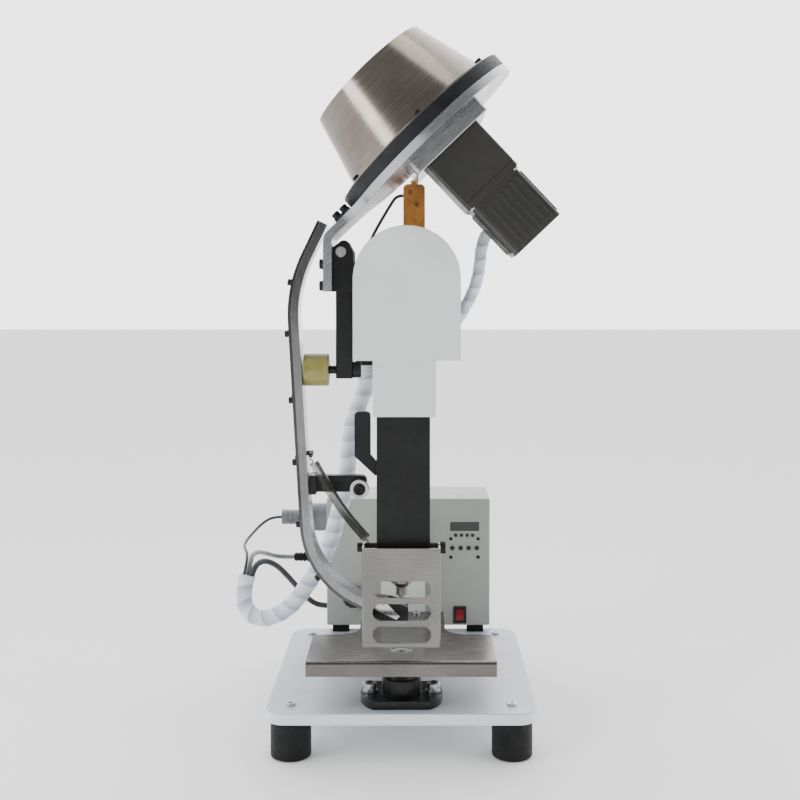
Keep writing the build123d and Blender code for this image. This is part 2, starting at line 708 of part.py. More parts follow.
def disc(low, high, radius, u=0.0, v=0.0):
    """A disc across the hopper's axis, in the hopper's frame."""
    return Pos(u, v, low) * Cylinder(radius, high - low, align=(MID, MID, MIN))


def entry_screw_places():
    """Screws of the guide between ring and chute, in the hopper's frame."""
    return [(-PLATE_R - 1 - d * ENTRY_L, v) for d in (0.25, 0.75) for v in (-15, 15)]


def around(count, radius, start=0.0):
    """Points evenly spaced on a circle."""
    angles = [radians(start + i * 360 / count) for i in range(count)]
    return [(radius * cos(a), radius * sin(a)) for a in angles]


def hopper_drum():
    """Spun steel drum with a flange, wider at its base."""
    points = (
        (DRUM_FLANGE_R, 0),
        (DRUM_FLANGE_R, 2),
        (DRUM_BASE_R, 2),
        (DRUM_MOUTH_R, DRUM_H),
        (DRUM_MOUTH_R - 2 * DRUM_SHEET, DRUM_H),
        (DRUM_BASE_R - 2 * DRUM_SHEET, 0),
    )
    body = revolve(make_face(Plane.XZ * Polyline(*points, close=True)), Axis.Z)
    for u, v in around(6, DRUM_FLANGE_R - 4.5, 30):
        body -= disc(0, 2, 2 + SLIP, u, v)
    return HOPPER * body


def hopper_screws():
    """Screws round the drum's flange."""
    places = around(6, DRUM_FLANGE_R - 4.5, 30)
    return [HOPPER * cap_screw((u, v, 2), (u, v, -8), 2.0, 4.2, 4.5) for u, v in places]


def hopper_ring():
    """Black ring under the drum, with a floor that the caps slide on."""
    body = disc(-RING_T, 0, PLATE_R)
    body = chamfer(body.edges().filter_by(GeomType.CIRCLE), 1.0)
    body -= disc(-6, 0, RING_BORE_R)
    for u, v in around(6, DRUM_FLANGE_R - 4.5, 30):
        body -= disc(-9, 0, 2 + SLIP, u, v)
    return HOPPER * (body - disc(-RING_T, -6, SHAFT_R + RUN))


def hopper_plate():
    """Aluminium disc whose tongue bends down beside the pivot."""
    half = HOPPER_TONGUE_HALF
    mid = PLATE_LOW + HOPPER_PLATE_T / 2
    mid_x = HOPPER_X - mid * sin(radians(TILT))
    mid_z = HOPPER_Z + mid * cos(radians(TILT))
    reach = (mid_x - HOPPER_TONGUE_X) / cos(radians(TILT))
    corner = (HOPPER_TONGUE_X, mid_z - reach * sin(radians(TILT)))
    straight = reach - 22
    plan = Circle(PLATE_R) + Pos(-straight / 2, 0) * Rectangle(straight, 2 * half)
    roots = [v for v in plan.vertices() if abs(abs(v.Y) - half) < 0.1 and -PLATE_R < v.X < 0]
    plan = fillet(roots, HOPPER_FILLET)
    plate = HOPPER * (Pos(0, 0, PLATE_LOW) * extrude(plan, HOPPER_PLATE_T))
    start = (HOPPER * Pos(2 - straight, 0, mid)).position
    line = FilletPolyline((start.X, start.Z), corner, (HOPPER_TONGUE_X, CHEEK_BOTTOM), radius=HOPPER_BEND_R)
    strip = deep(Plane.XZ * trace(line, HOPPER_PLATE_T), (-half, half))
    body = plate + strip
    for z in CLEVIS_SCREW_ZS:
        for y in (-CLEVIS_SCREW_Y, CLEVIS_SCREW_Y):
            body -= rod((HOPPER_TONGUE_X - 6, y, z), (HOPPER_TONGUE_X + 6, y, z), 3 + SLIP)
    for u, v in entry_screw_places():
        body -= HOPPER * disc(PLATE_LOW, -RING_T, 2 + SLIP, u, v)
    return body - HOPPER * disc(PLATE_LOW, PLATE_LOW + HOPPER_PLATE_T, SHAFT_R + RUN)


def mount_plate():
    """Square plate between the hopper plate and the gear motor."""
    body = Pos(MOTOR_U, 0, MOUNT_LOW) * extrude(RectangleRounded(MOUNT_W, MOUNT_W, 6), MOUNT_T)
    body = chamfer(body.faces().sort_by(Axis.Z)[0].edges(), 1.0)
    return HOPPER * (body - disc(MOUNT_LOW, PLATE_LOW, SHAFT_R + RUN))


def gearbox():
    """Square gearbox."""
    body = Pos(MOTOR_U, 0, GEARBOX_LOW) * extrude(RectangleRounded(GEARBOX_W, GEARBOX_W, 4), GEARBOX_H)
    body -= disc(MOUNT_LOW - 20, MOUNT_LOW, SHAFT_R + RUN)
    return HOPPER * chamfer(body.faces().sort_by(Axis.Z)[0].edges(), 0.8)


def hopper_motor():
    """Square motor with a flange, long ribs and an end cap."""
    w = GEARBOX_W
    top = GEARBOX_LOW
    flange = Pos(MOTOR_U, 0, top - MOTOR_FLANGE_T) * extrude(RectangleRounded(w, w, 5), MOTOR_FLANGE_T)
    core = Pos(MOTOR_U, 0, MOTOR_LOW) * extrude(RectangleRounded(w - 7, w - 7, 6), MOTOR_H - MOTOR_FLANGE_T)
    body = flange + core
    for i in range(-3, 4):
        middle = Pos(MOTOR_U, 0, MOTOR_LOW + (MOTOR_H - MOTOR_FLANGE_T) / 2 - 1)
        body += middle * Pos(0, i * 9.4, 0) * Box(w - 3.5, 3.2, MOTOR_H - 22)
        body += middle * Pos(i * 9.4, 0, 0) * Box(3.2, w - 3.5, MOTOR_H - 22)
    return HOPPER * body + terminal_box()


def hopper_brush():
    """Stirrer in the drum: a hub on the gear motor's shaft, with curved arms."""
    body = disc(-6 + SEAT, 16, 17) + disc(MOUNT_LOW - 18, 0, SHAFT_R)
    for i in range(4):
        arm = Pos(45, 0, -5.2 + 6) * Box(70, 9, 11)
        body += Rot(0, 0, 45 + 90 * i) * arm
    return HOPPER * fillet(body.edges().filter_by(GeomType.CIRCLE).sort_by(Axis.Z)[-1], 3)


# ---------------------------------------------------------------- feeder: clevis, chute, lever and roller


def cheek(sign):
    """One cheek of the clevis, bolted to the tongue, on one side of the stop arm."""
    inner = STOP_ARM_HALF + SEAT
    y = (inner, inner + CHEEK_T) if sign > 0 else (-inner - CHEEK_T, -inner)
    left = HOPPER_TONGUE_X + HOPPER_PLATE_T / 2
    points = ((left, CHEEK_BOTTOM), (CHEEK_RIGHT, CHEEK_BOTTOM), (CHEEK_RIGHT, PIVOT_Z), (-66.0, CHEEK_TOP), (left, 610.0))
    body = wall(points, y)
    body = fillet([e for e in edges_along(body, Axis.Y) if e.center().X > -70 and e.center().Z > 590], 7)
    body -= rod((PIVOT_X, y[0], PIVOT_Z), (PIVOT_X, y[1], PIVOT_Z), PIVOT_R + RUN)
    mid = (y[0] + y[1]) / 2
    for z in CLEVIS_SCREW_ZS:
        reach = CLEVIS_SCREW_L - HOPPER_PLATE_T + 1
        body -= rod((left, mid, z), (left + reach, mid, z), 3 + SLIP)
    return body


def clevis_cheeks():
    """The clevis's two cheeks."""
    return together((cheek(-1), cheek(1)))


def clevis_screws():
    """Cap screws through the tongue into the cheeks, two above and two below."""
    left = HOPPER_TONGUE_X - HOPPER_PLATE_T / 2
    places = [(y, z) for z in CLEVIS_SCREW_ZS for y in (-CLEVIS_SCREW_Y, CLEVIS_SCREW_Y)]
    return [cap_screw((left, y, z), (left + CLEVIS_SCREW_L, y, z), 3.0, 6.0, 6.5) for y, z in places]


def pivot_pin():
    """Pin that the whole feeder swings about."""
    end = STOP_ARM_HALF + SEAT + CHEEK_T
    pin = rod((PIVOT_X, -end, PIVOT_Z), (PIVOT_X, end + 3, PIVOT_Z), PIVOT_R)
    head = rod((PIVOT_X, -end - 2.2, PIVOT_Z), (PIVOT_X, -end, PIVOT_Z), 6.6)
    return pin + chamfer(head.edges().filter_by(GeomType.CIRCLE).sort_by(Axis.Y)[:1], 0.6)


def chute_path():
    """Centre line of the chute in XZ, from the hopper's tongue to the nose."""
    points = [(x, 0, z) for x, z in CHUTE_POINTS]
    return FilletPolyline(*points, radius=list(CHUTE_RADII))


def along_chute(width, low, high):
    """A strip that follows the chute; low and high are offsets towards the head."""
    path = chute_path()
    start = Plane(origin=path @ 0, x_dir=(0, 1, 0), z_dir=path % 0)
    section = Pos(0, (low + high) / 2) * Rectangle(width, high - low)
    return sweep(start * section, path=path)


def chute_spots():
    """Six places along the chute: centre point and the direction towards the head."""
    path = chute_path()
    spots = []
    for t in (0.16, 0.28, 0.44, 0.59, 0.74, 0.87):
        along = path % t
        spots.append((path @ t, Vector(-along.Z, 0, along.X)))
    return spots


def chute_screw(spot, y):
    """A cap screw from the chute's outer face into its rail."""
    centre, inward = spot
    face = centre + Vector(0, y, 0) - inward * (CHUTE_T / 2)
    return cap_screw(tuple(face), tuple(face + inward * 9), 1.5, 4.0, 4.5)


def chute_rail():
    """Stainless rail with the groove that the caps slide down."""
    low = CHUTE_COVER_T - CHUTE_T / 2
    body = along_chute(CHUTE_W, low, CHUTE_T / 2) - along_chute(CHUTE_GROOVE_W, low - 0.5, low + CHUTE_GROOVE_T)
    for spot in chute_spots():
        for y in (-16, 16):
            centre, inward = spot
            face = centre + Vector(0, y, 0) - inward * (CHUTE_T / 2)
            body -= rod(tuple(face), tuple(face + inward * 9.5), 1.5 + SLIP)
    return body


def chute_cover():
    """Dark strip that closes the groove."""
    body = along_chute(CHUTE_W, -CHUTE_T / 2, CHUTE_COVER_T - CHUTE_T / 2)
    for spot in chute_spots():
        for y in (-16, 16):
            centre, inward = spot
            face = centre + Vector(0, y, 0) - inward * (CHUTE_T / 2)
            body -= rod(tuple(face - inward), tuple(face + inward * 5), 1.5 + SLIP)
    return body


def chute_screws():
    """Small cap screws down both edges of the chute."""
    return [chute_screw(spot, y) for spot in chute_spots() for y in (-16, 16)]


def chute_entry():
    """Guide bolted on the tongue, between the ring and the chute."""
    middle = -PLATE_R - 1 - ENTRY_L / 2
    body = Pos(middle, 0, -RING_T + ENTRY_T / 2) * Box(ENTRY_L, CHUTE_W, ENTRY_T)
    body -= Pos(middle, 0, -RING_T + 1.5) * Box(ENTRY_L, 22, 3)
    for u, v in entry_screw_places():
        body -= disc(-RING_T, ENTRY_T - RING_T, 2 + SLIP, u, v)
    return HOPPER * body


def entry_screws():
    """Larger cap screws through the guide into the tongue."""
    top = ENTRY_T - RING_T
    return [
        HOPPER * cap_screw((u, v, top), (u, v, top - ENTRY_T - 8), 2.0, 5.0, 6.0) for u, v in entry_screw_places()
    ]


def feeder_screws():
    """Black screws of the feeder: drum clips, guide, chute, clevis, and the stud for the spring."""
    return together([*hopper_screws(), *entry_screws(), *chute_screws(), *clevis_screws(), spring_post()])


def chute_nose():
    """Black fork at the chute's end; the punch comes down between its prongs."""
    points = ((-43.5, 187.0), (-12.0, 184.0), (8.0, 177.0), (8.0, 160.0), (-20.0, 158.0), (-49.0, 173.0))
    body = wall(points, (-14, 14))
    path = chute_path()
    end, along = path @ 1, path % 1
    body -= Plane(origin=end - along * 12, z_dir=along, x_dir=(0, 1, 0)) * Pos(0, 0, 6) * Box(60, 60, 12.2)
    body -= block((-16, 9), (-8.6, 8.6), (150, 190))
    return body - rod((-22, -15, 177), (-22, 15, 177), 3 + SLIP)


def nose_guide():
    """Stainless guide plate on the fork's front cheek, with its pin through the fork."""
    plate = wall(((-40.0, 178.0), (-20.0, 184.0), (-2.0, 166.0), (-6.0, 162.0)), (-15.6, -14))
    plate = plate + rod((-22, -17.2, 177), (-22, 15, 177), 3)
    return plate


def lever_bar():
    """Black lever from the chute's inner face to the cam roller."""
    face = chute_face_x(LEVER_Z - 12) + 0.05
    block_part = block((face, face + 8), (-14, 14), (LEVER_Z - 12, LEVER_Z + 11))
    bar = block((face + 7, LEVER_RIGHT), (-LEVER_HALF, LEVER_HALF), (LEVER_Z - LEVER_H / 2, LEVER_Z + LEVER_H / 2))
    bar = fillet([e for e in edges_along(bar, Axis.Y) if e.center().X > -60], 7)
    z = ROLLER_Z
    body = block_part + bar - rod((ROLLER_X, -LEVER_HALF, z), (ROLLER_X, LEVER_HALF, z), ROLLER_BORE_R - RUN)
    stub = rod((ROLLER_X, ROLLER_FRONT - 0.8, z), (ROLLER_X, LEVER_HALF, z), ROLLER_BORE_R - RUN)
    collar = rod((ROLLER_X, -LEVER_HALF - 0.7, z), (ROLLER_X, -LEVER_HALF, z), 5.5)
    return body + stub + collar


def cam_roller():
    """Ball bearing used as the cam follower."""
    y = (ROLLER_FRONT, ROLLER_BACK)
    body = rod((ROLLER_X, y[0], ROLLER_Z), (ROLLER_X, y[1], ROLLER_Z), ROLLER_R)
    body = fillet(body.edges().filter_by(GeomType.CIRCLE), 0.8)
    for a, b in ((y[0], y[0] + 0.8), (y[1] - 0.8, y[1])):
        ring = rod((ROLLER_X, a, ROLLER_Z), (ROLLER_X, b, ROLLER_Z), 9) - rod(
            (ROLLER_X, a, ROLLER_Z), (ROLLER_X, b, ROLLER_Z), 6.4
        )
        body -= ring
    return body - rod((ROLLER_X, y[0], ROLLER_Z), (ROLLER_X, y[1], ROLLER_Z), ROLLER_BORE_R)


def spring_post():
    """Stud on the chute's inner face that the return spring hooks on."""
    z = 363.0
    face = chute_face_x(z - 4) + 0.05
    body = rod((face, -12, z), (-106, -12, z), 3.0)
    return body + block((-110, -106.5), (SPRING_Y - 3, -8), (z - 3.6, z + 2))


def return_spring():
    """Outer shape of the tension spring, with its two end hooks."""
    top = (SPRING_TOP[0], SPRING_Y, SPRING_TOP[1])
    bottom = (SPRING_BOTTOM[0], SPRING_Y, SPRING_BOTTOM[1])
    body = rod(top, bottom, SPRING_R) - rod(top, bottom, SPRING_R - SPRING_WIRE)
    axis = (Vector(*bottom) - Vector(*top)).normalized()
    wire = SPRING_WIRE / 2
    for end, sign in ((Vector(*top), -1), (Vector(*bottom), 1)):
        start = end - axis * (2 * sign)
        bar = Plane(origin=start, z_dir=axis * sign) * (Pos(SPRING_R - wire, 0, 0) * Cylinder(wire, 1, align=(MID, MID, MIN)))
        across = Plane(origin=end, z_dir=axis) * Box(2 * SPRING_R - 1, SPRING_WIRE, SPRING_WIRE)
        hook = rod(tuple(end), tuple(end + axis * sign * 7.5), wire)
        body += bar + across + hook
    return body


# ---------------------------------------------------------------- control box


def box_shell():
    """Folded steel box; its front is pierced for the controls and its left side for the sockets."""
    x, y, z = (BOX_LEFT, BOX_RIGHT), (BOX_FRONT, BOX_BACK), (BOX_BOTTOM, BOX_TOP)
    body = block(x, y, z)
    body = fillet(edges_along(body, Axis.Y), 2.5)
    body = fillet(body.faces().sort_by(Axis.Y)[0].edges(), 1.5)
    s = BOX_SHEET
    body -= block((x[0] + s, x[1] - s), (y[0] + s, y[1] - s), (z[0] + s, z[1] - s))
    front = (BOX_FRONT - 1, BOX_FRONT + s + 1)
    body -= block(
        (PANEL_X - DISPLAY_W / 2, PANEL_X + DISPLAY_W / 2), front, (DISPLAY_Z - DISPLAY_H / 2, DISPLAY_Z + DISPLAY_H / 2)
    )
    holes = [(x, LED_Z, LED_R + SLIP) for x in LED_XS]
    holes += [(x, BUTTON_Z, BUTTON_R + SEAT) for x in BUTTON_XS]
    holes += [(x, z, 1.5 + SLIP) for x in PANEL_SCREW_XS for z in PANEL_SCREW_ZS]
    holes += [(KNOB_X, KNOB_Z, 3.2 + RUN)]
    for x, z, r in holes:
        body -= rod((x, front[0], z), (x, front[1], z), r)
    half_w, half_h = SWITCH_W / 2 - 2, SWITCH_H / 2 - 2
    body -= block((SWITCH_X - half_w, SWITCH_X + half_w), front, (SWITCH_Z - half_h, SWITCH_Z + half_h))
    return body


def panel_board():
    """Circuit board behind the panel, on four posts."""
    y = BOX_FRONT + BOX_SHEET
    body = block((62, 115), (y + BOARD_Y, y + BOARD_Y + 1.6), (165, 226))
    for x in PANEL_SCREW_XS:
        for z in PANEL_SCREW_ZS:
            body += rod((x, y, z), (x, y + BOARD_Y, z), 2.6)
            body -= rod((x, y, z), (x, y + 6, z), 1.5 + SLIP)
    for x in BUTTON_XS:
        body += rod((x, y + 4.6, BUTTON_Z), (x, y + BOARD_Y, BUTTON_Z), 3.2)
    return body


def display():
    """Digital display in its window."""
    w, h = DISPLAY_W / 2 - SLIP, DISPLAY_H / 2 - SLIP
    y = (BOX_FRONT - 0.4, BOX_FRONT + BOX_SHEET + BOARD_Y)
    body = block((PANEL_X - w, PANEL_X + w), y, (DISPLAY_Z - h, DISPLAY_Z + h))
    return chamfer(body.faces().sort_by(Axis.Y)[0].edges(), 0.3)


def push_button(x):
    """Round push button with a flange behind the panel."""
    inner = BOX_FRONT + BOX_SHEET
    cap = rod((x, BOX_FRONT - BUTTON_PROUD, BUTTON_Z), (x, inner + 3, BUTTON_Z), BUTTON_R)
    cap = fillet(cap.edges().sort_by(Axis.Y)[0], 0.8)
    return cap + rod((x, inner + SEAT, BUTTON_Z), (x, inner + 1.8, BUTTON_Z), BUTTON_R + 1.2)


def switch_bezel():
    """Frame of the power switch."""
    w, h = SWITCH_W / 2, SWITCH_H / 2
    body = block((SWITCH_X - w, SWITCH_X + w), (BOX_FRONT - 2, BOX_FRONT), (SWITCH_Z - h, SWITCH_Z + h))
    body = fillet(edges_along(body, Axis.Y), 1.5)
    body = fillet(body.faces().sort_by(Axis.Y)[0].edges(), 0.6)
    body += block(
        (SWITCH_X - w + 2.2, SWITCH_X + w - 2.2), (BOX_FRONT, BOX_FRONT + 18), (SWITCH_Z - h + 2.2, SWITCH_Z + h - 2.2)
    )
    y = (BOX_FRONT - 2, BOX_FRONT + 14)
    return body - block((SWITCH_X - w + 3.4, SWITCH_X + w - 3.4), y, (SWITCH_Z - h + 3.4, SWITCH_Z + h - 3.4))


def rocker():
    """Rocker of the power switch: two faces that meet at a shallow angle over its pivot."""
    half_w = SWITCH_W / 2 - 3.4 - SEAT
    half_h = SWITCH_H / 2 - 3.4 - 0.9
    y = BOX_FRONT
    side = Plane.YZ * Polyline(
        (y - 4.6, SWITCH_Z + half_h),
        (y - 1.2, SWITCH_Z),
        (y - 2.4, SWITCH_Z - half_h),
        (y + 3.0, SWITCH_Z - half_h),
        (y + 10.0, SWITCH_Z - 2.6),
        (y + 10.0, SWITCH_Z + 2.6),
        (y + 3.0, SWITCH_Z + half_h),
        close=True,
    )
    return Pos(SWITCH_X - half_w, 0, 0) * extrude(make_face(side), 2 * half_w, dir=(1, 0, 0))


def knob():
    """Speed knob with grips, on its shaft."""
    front = BOX_FRONT - 0.6
    body = rod((KNOB_X, front - KNOB_H, KNOB_Z), (KNOB_X, front, KNOB_Z), KNOB_R)
    body = fillet(body.edges().sort_by(Axis.Y)[0], 1.5)
    for dx, dz in around(12, KNOB_R + 1.2):
        x, z = KNOB_X + dx, KNOB_Z + dz
        body -= rod((x, front - KNOB_H - 1, z), (x, front - 5, z), 2.4)
    return body + rod((KNOB_X, front, KNOB_Z), (KNOB_X, BOX_FRONT + 10, KNOB_Z), 3.2)


SOCKET_Y = 326.0
ROUND_Z = 220.0
BLOCK_Z = 160.0


def round_socket():
    """Round metal socket on the box's left side."""
    body = rod((BOX_LEFT, SOCKET_Y, ROUND_Z), (BOX_LEFT - 30, SOCKET_Y, ROUND_Z), 20.5)
    body = fillet(body.edges().sort_by(Axis.X)[0], 2)
    return body


def box_sockets():
    """The two sockets on the control box."""
    return together((round_socket(), block_socket()))


def round_plug():
    """Cable plug in the round socket."""
    x = BOX_LEFT - 30
    body = rod((x, SOCKET_Y, ROUND_Z), (x - 40, SOCKET_Y, ROUND_Z), 11)
    for i in range(4):
        a = x - 8 - i * 7
        ring = rod((a, SOCKET_Y, ROUND_Z), (a - 2, SOCKET_Y, ROUND_Z), 12)
        body -= ring - rod((a, SOCKET_Y, ROUND_Z), (a - 2, SOCKET_Y, ROUND_Z), 10.2)
    return body


def block_socket():
    """Rectangular inlet on the box's left side."""
    body = block((BOX_LEFT - 22, BOX_LEFT), (SOCKET_Y - 16, SOCKET_Y + 16), (BLOCK_Z - 11, BLOCK_Z + 11))
    return fillet(edges_along(body, Axis.X), 3)


def strain_relief():
    """Ribbed rubber strain relief on the inlet's plug."""
    x = BOX_LEFT - 22
    body = rod((x, SOCKET_Y, BLOCK_Z), (x - 30, SOCKET_Y, BLOCK_Z), 5.6)
    for i in range(5):
        a = x - 2 - i * 5.6
        body += rod((a, SOCKET_Y, BLOCK_Z), (a - 2.8, SOCKET_Y, BLOCK_Z), 7.6 - 0.3 * i)
    return body


# ---------------------------------------------------------------- sensor, glands and cords


def sensor_block():
    """Amber block sensor on the arm's top."""
    x = (SENSOR_X - SENSOR_W / 2, SENSOR_X + SENSOR_W / 2)
    y = (SENSOR_FRONT, SENSOR_FRONT + SENSOR_D)
    body = block(x, y, (ARM_TOP, SENSOR_TOP))
    body = chamfer([e for e in edges_along(body, Axis.Y) if e.center().Z > SENSOR_TOP - 1], 4)
    body = fillet(edges_along(body, Axis.Z), 1.2)
    body -= rod((SENSOR_X - 5, y[0], SENSOR_TOP - 10), (SENSOR_X - 5, y[0] + 3, SENSOR_TOP - 10), 3)
    body -= rod((SENSOR_X + 4, y[0], SENSOR_TOP - 26), (SENSOR_X + 4, y[0] + 3, SENSOR_TOP - 26), 3.6)
    return body + upright(SENSOR_X, SENSOR_EXIT_Y, (SENSOR_TOP, SENSOR_TOP + 6), 5)


SENSOR_EXIT_Y = SENSOR_FRONT + SENSOR_D / 2
GLAND = (-46.0, 110.0)
GLAND_Z = (462.0, 490.0)


def gland_bracket():
    """Bracket on the arm's left side with the gland of the main harness."""
    x = (GLAND[0] - 15, -COLUMN_W / 2)
    plate = block(x, (GLAND[1] - 16, GLAND[1] + 16), GLAND_Z)
    plate = fillet(edges_along(plate, Axis.Z).sort_by(Axis.X)[:2], 5)
    return plate


def side_gland():
    """Gland on the arm's right side for the hopper motor's harness."""
    y, z = 62.0, 506.0
    body = rod((COLUMN_W / 2, y, z), (COLUMN_W / 2 + 14, y, z), 11)
    return chamfer(body.edges().sort_by(Axis.X)[-1], 1)


def arm_glands():
    """The arm's two cable glands."""
    return together((gland_bracket(), side_gland()))


def terminal_box():
    """Cable box on the hopper motor's back side."""
    half = GEARBOX_W / 2
    body = Pos(2, half + 11, MOTOR_LOW + 42) * Box(40, 22, 32)
    body = fillet(edges_along(body, Axis.Y), 3)
    return HOPPER * body


# Cords: their radii, and their centre lines from the machine's end.
LEAD_R = 2.2
HARNESS_R = 11.5
FEED_R = 8.0
PLUG_CABLE_R = 2.0
INLET_CABLE_R = 3.2
CONDUIT_R = 4.0
LEAD_POINTS = (
    (SENSOR_X - SENSOR_W / 2, SENSOR_EXIT_Y, 684.0),
    (-8.0, 140.0, 684.0),
    (-16.0, 139.0, 672.0),
    (-26.0, 137.0, 655.0),
    (-38.0, 133.0, 634.0),
    (-49.0, 128.0, 608.0),
    (-56.0, 121.0, 578.0),
    (-56.0, 113.0, 548.0),
    (-51.0, 110.0, 518.0),
    (-51.0, 110.0, GLAND_Z[1]),
)
HARNESS_POINTS = (
    (GLAND[0], GLAND[1], GLAND_Z[0]),
    (-46.0, 110.0, 440.0),
    (-55.0, 111.0, 414.0),
    (-66.0, 112.5, 387.0),
    (-70.5, 115.0, 351.0),
    (-73.0, 119.0, 316.0),
    (-81.0, 124.0, 279.0),
    (-90.0, 130.0, 244.0),
    (-101.0, 137.0, 211.0),
    (-115.0, 144.0, 184.0),
    (-130.0, 150.0, 160.0),
    (-147.0, 156.0, 136.0),
    (-168.0, 162.0, 119.0),
    (-192.0, 168.0, 110.0),
    (-213.0, 175.0, 117.0),
    (-221.0, 183.0, 140.0),
    (-215.0, 188.0, 166.0),
)
FEED_POINTS = (
    (110.5, 51.0, 633.37),
    (103.3, 51.0, 626.55),
    (98.5, 53.0, 607.0),
    (97.0, 55.0, 584.0),
    (91.5, 57.5, 561.0),
    (81.0, 60.0, 540.0),
    (69.0, 61.5, 520.0),
    (57.0, 62.0, 506.0),
    (COLUMN_W / 2 + 14, 62.0, 506.0),
)
PLUG_POINTS = (
    (BOX_LEFT - 70, SOCKET_Y, ROUND_Z),
    (-196.0, SOCKET_Y, ROUND_Z),
    (-210.0, 316.0, 213.0),
    (-221.0, 298.0, 203.0),
    (-228.0, 275.0, 196.0),
    (-228.0, 250.0, 193.0),
    (-223.0, 227.0, 193.0),
    (-217.0, 206.0, 191.0),
    (-216.4, 190.6, 180.5),
    (-219.5, 188.0, 167.1),
)
INLET_POINTS = (
    (BOX_LEFT - 52, SOCKET_Y, BLOCK_Z),
    (-178.0, SOCKET_Y, BLOCK_Z),
    (-191.0, 317.0, 163.0),
    (-200.0, 301.0, 170.0),
    (-206.0, 279.0, 177.0),
    (-209.0, 255.0, 183.0),
    (-210.5, 231.0, 187.0),
    (-211.5, 211.0, 187.5),
    (-212.3, 196.7, 177.95),
    (-215.3, 194.2, 164.95),
)
CONDUIT_POINTS = (
    (-208.6, 188.0, 164.6),
    (-205.9, 190.25, 176.3),
    (-197.0, 200.0, 183.0),
    (-188.0, 214.5, 179.0),
    (-178.0, 233.0, 168.0),
    (-168.0, 250.0, 152.0),
    (-158.0, 268.0, 134.0),
    (-148.0, 284.0, 116.0),
    (-137.0, 297.0, 101.0),
    (-124.0, 303.0, 93.0),
    (BOX_LEFT, 303.0, 93.0),
)


def cord(name, points, radius):
    """A cord along straight runs joined by tangent arcs as large as the runs allow."""
    places = [Vector(*p) for p in points]
    radii = []
    for a, b, c in zip(places, places[1:], places[2:]):
        turn = radians((b - a).get_angle(c - b))
        radii.append(0.45 * min((b - a).length, (c - b).length) / tan(turn / 2))
    path = FilletPolyline(*points, radius=radii)
    start = Plane(origin=path @ 0, z_dir=path % 0)
    tube = sweep(start * Circle(radius), path=path)
    area = 3.14159265 * radius**2
    print(f"{name}: length {path.length:.1f}, smallest radii {sorted(round(r) for r in radii)[:4]}")
    print(f"{name}: volume over section x length {tube.volume / (area * path.length):.4f}")
    return tube


# ---------------------------------------------------------------- output


def main():
    """Write every node."""
    builders = (
        base_plate,
        rubber_feet,
        frame_screws,
        die_post,
        lower_die,
        work_table,
        c_frame,
        head_plate,
        head_cover,
        linkage_cover,
        ram_housing,
        drive_motor,
        crank,
        ram,
        punch,
        cam_plate,
        guard,
        guard_pins,
        stop_arm,
        stop_screw,
        bumper,
        hopper_drum,
        hopper_ring,
        hopper_plate,
        mount_plate,
        gearbox,
        hopper_motor,
        hopper_brush,
        clevis_cheeks,
        feeder_screws,
        pivot_pin,
        chute_rail,
        chute_cover,
        chute_entry,
        chute_nose,
        nose_guide,
        lever_bar,
        cam_roller,
        return_spring,
        box_shell,
        panel_board,
        display,
        switch_bezel,
        rocker,
        knob,
        box_sockets,
        round_plug,
        strain_relief,
        sensor_block,
        arm_glands,
    )
    for build in builders:
        save(build.__name__, build())
    for number, x in enumerate(BUTTON_XS, 1):
        save(f"button_{number}", push_button(x))
    cords = {
        "sensor_lead": (LEAD_POINTS, LEAD_R),
        "main_harness": (HARNESS_POINTS, HARNESS_R),
        "feed_harness": (FEED_POINTS, FEED_R),
        "plug_cable": (PLUG_POINTS, PLUG_CABLE_R),
        "inlet_cable": (INLET_POINTS, INLET_CABLE_R),
        "box_conduit": (CONDUIT_POINTS, CONDUIT_R),
    }
    for name, (points, radius) in cords.items():
        save(name, cord(name, points, radius))


main()
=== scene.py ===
from math import cos, radians, sin, pi
import bmesh
import bpy
from mathutils import Matrix, Vector


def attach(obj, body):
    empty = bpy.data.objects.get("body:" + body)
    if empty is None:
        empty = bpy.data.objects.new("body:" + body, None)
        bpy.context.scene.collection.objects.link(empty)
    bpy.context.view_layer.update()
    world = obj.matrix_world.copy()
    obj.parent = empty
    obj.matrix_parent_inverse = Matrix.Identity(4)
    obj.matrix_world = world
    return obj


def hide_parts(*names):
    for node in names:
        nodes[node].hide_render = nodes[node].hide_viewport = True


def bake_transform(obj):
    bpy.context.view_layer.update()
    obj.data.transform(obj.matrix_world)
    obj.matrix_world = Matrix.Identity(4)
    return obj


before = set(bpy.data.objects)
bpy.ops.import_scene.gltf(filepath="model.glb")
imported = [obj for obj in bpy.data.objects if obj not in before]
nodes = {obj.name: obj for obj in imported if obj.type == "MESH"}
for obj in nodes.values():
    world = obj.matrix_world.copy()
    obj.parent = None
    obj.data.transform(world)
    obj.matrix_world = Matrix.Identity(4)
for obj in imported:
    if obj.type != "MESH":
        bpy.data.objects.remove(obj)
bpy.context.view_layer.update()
bpy.ops.object.select_all(action="DESELECT")


# ---- Studio: a pale floor, a soft white surround and three soft boxes.
# The surround is dimmer on the camera's side than behind the machine.

CAMERA_AT = (0.0038, -1.5425, 0.559)
LENS_DOWN = 1.469  # degrees
LENS_SHIFT = (-0.01875, -0.1)
LENS_MM = 52.65
SENSOR_MM = 36
FLOOR_SIZE = 30
FLOOR_DROP = 0.0005  # how far the floor lies under the feet
SURROUND_SPAN = (-0.4, 0.6)  # from the camera's side to the back
SURROUND_STRENGTH = (0.42, 3.4)
bpy.ops.object.camera_add(location=CAMERA_AT, rotation=(radians(90 - LENS_DOWN), 0, 0))
camera = bpy.context.object
camera.data.shift_x, camera.data.shift_y = LENS_SHIFT
camera.data.sensor_width = SENSOR_MM
camera.data.lens = LENS_MM
bpy.context.scene.camera = camera

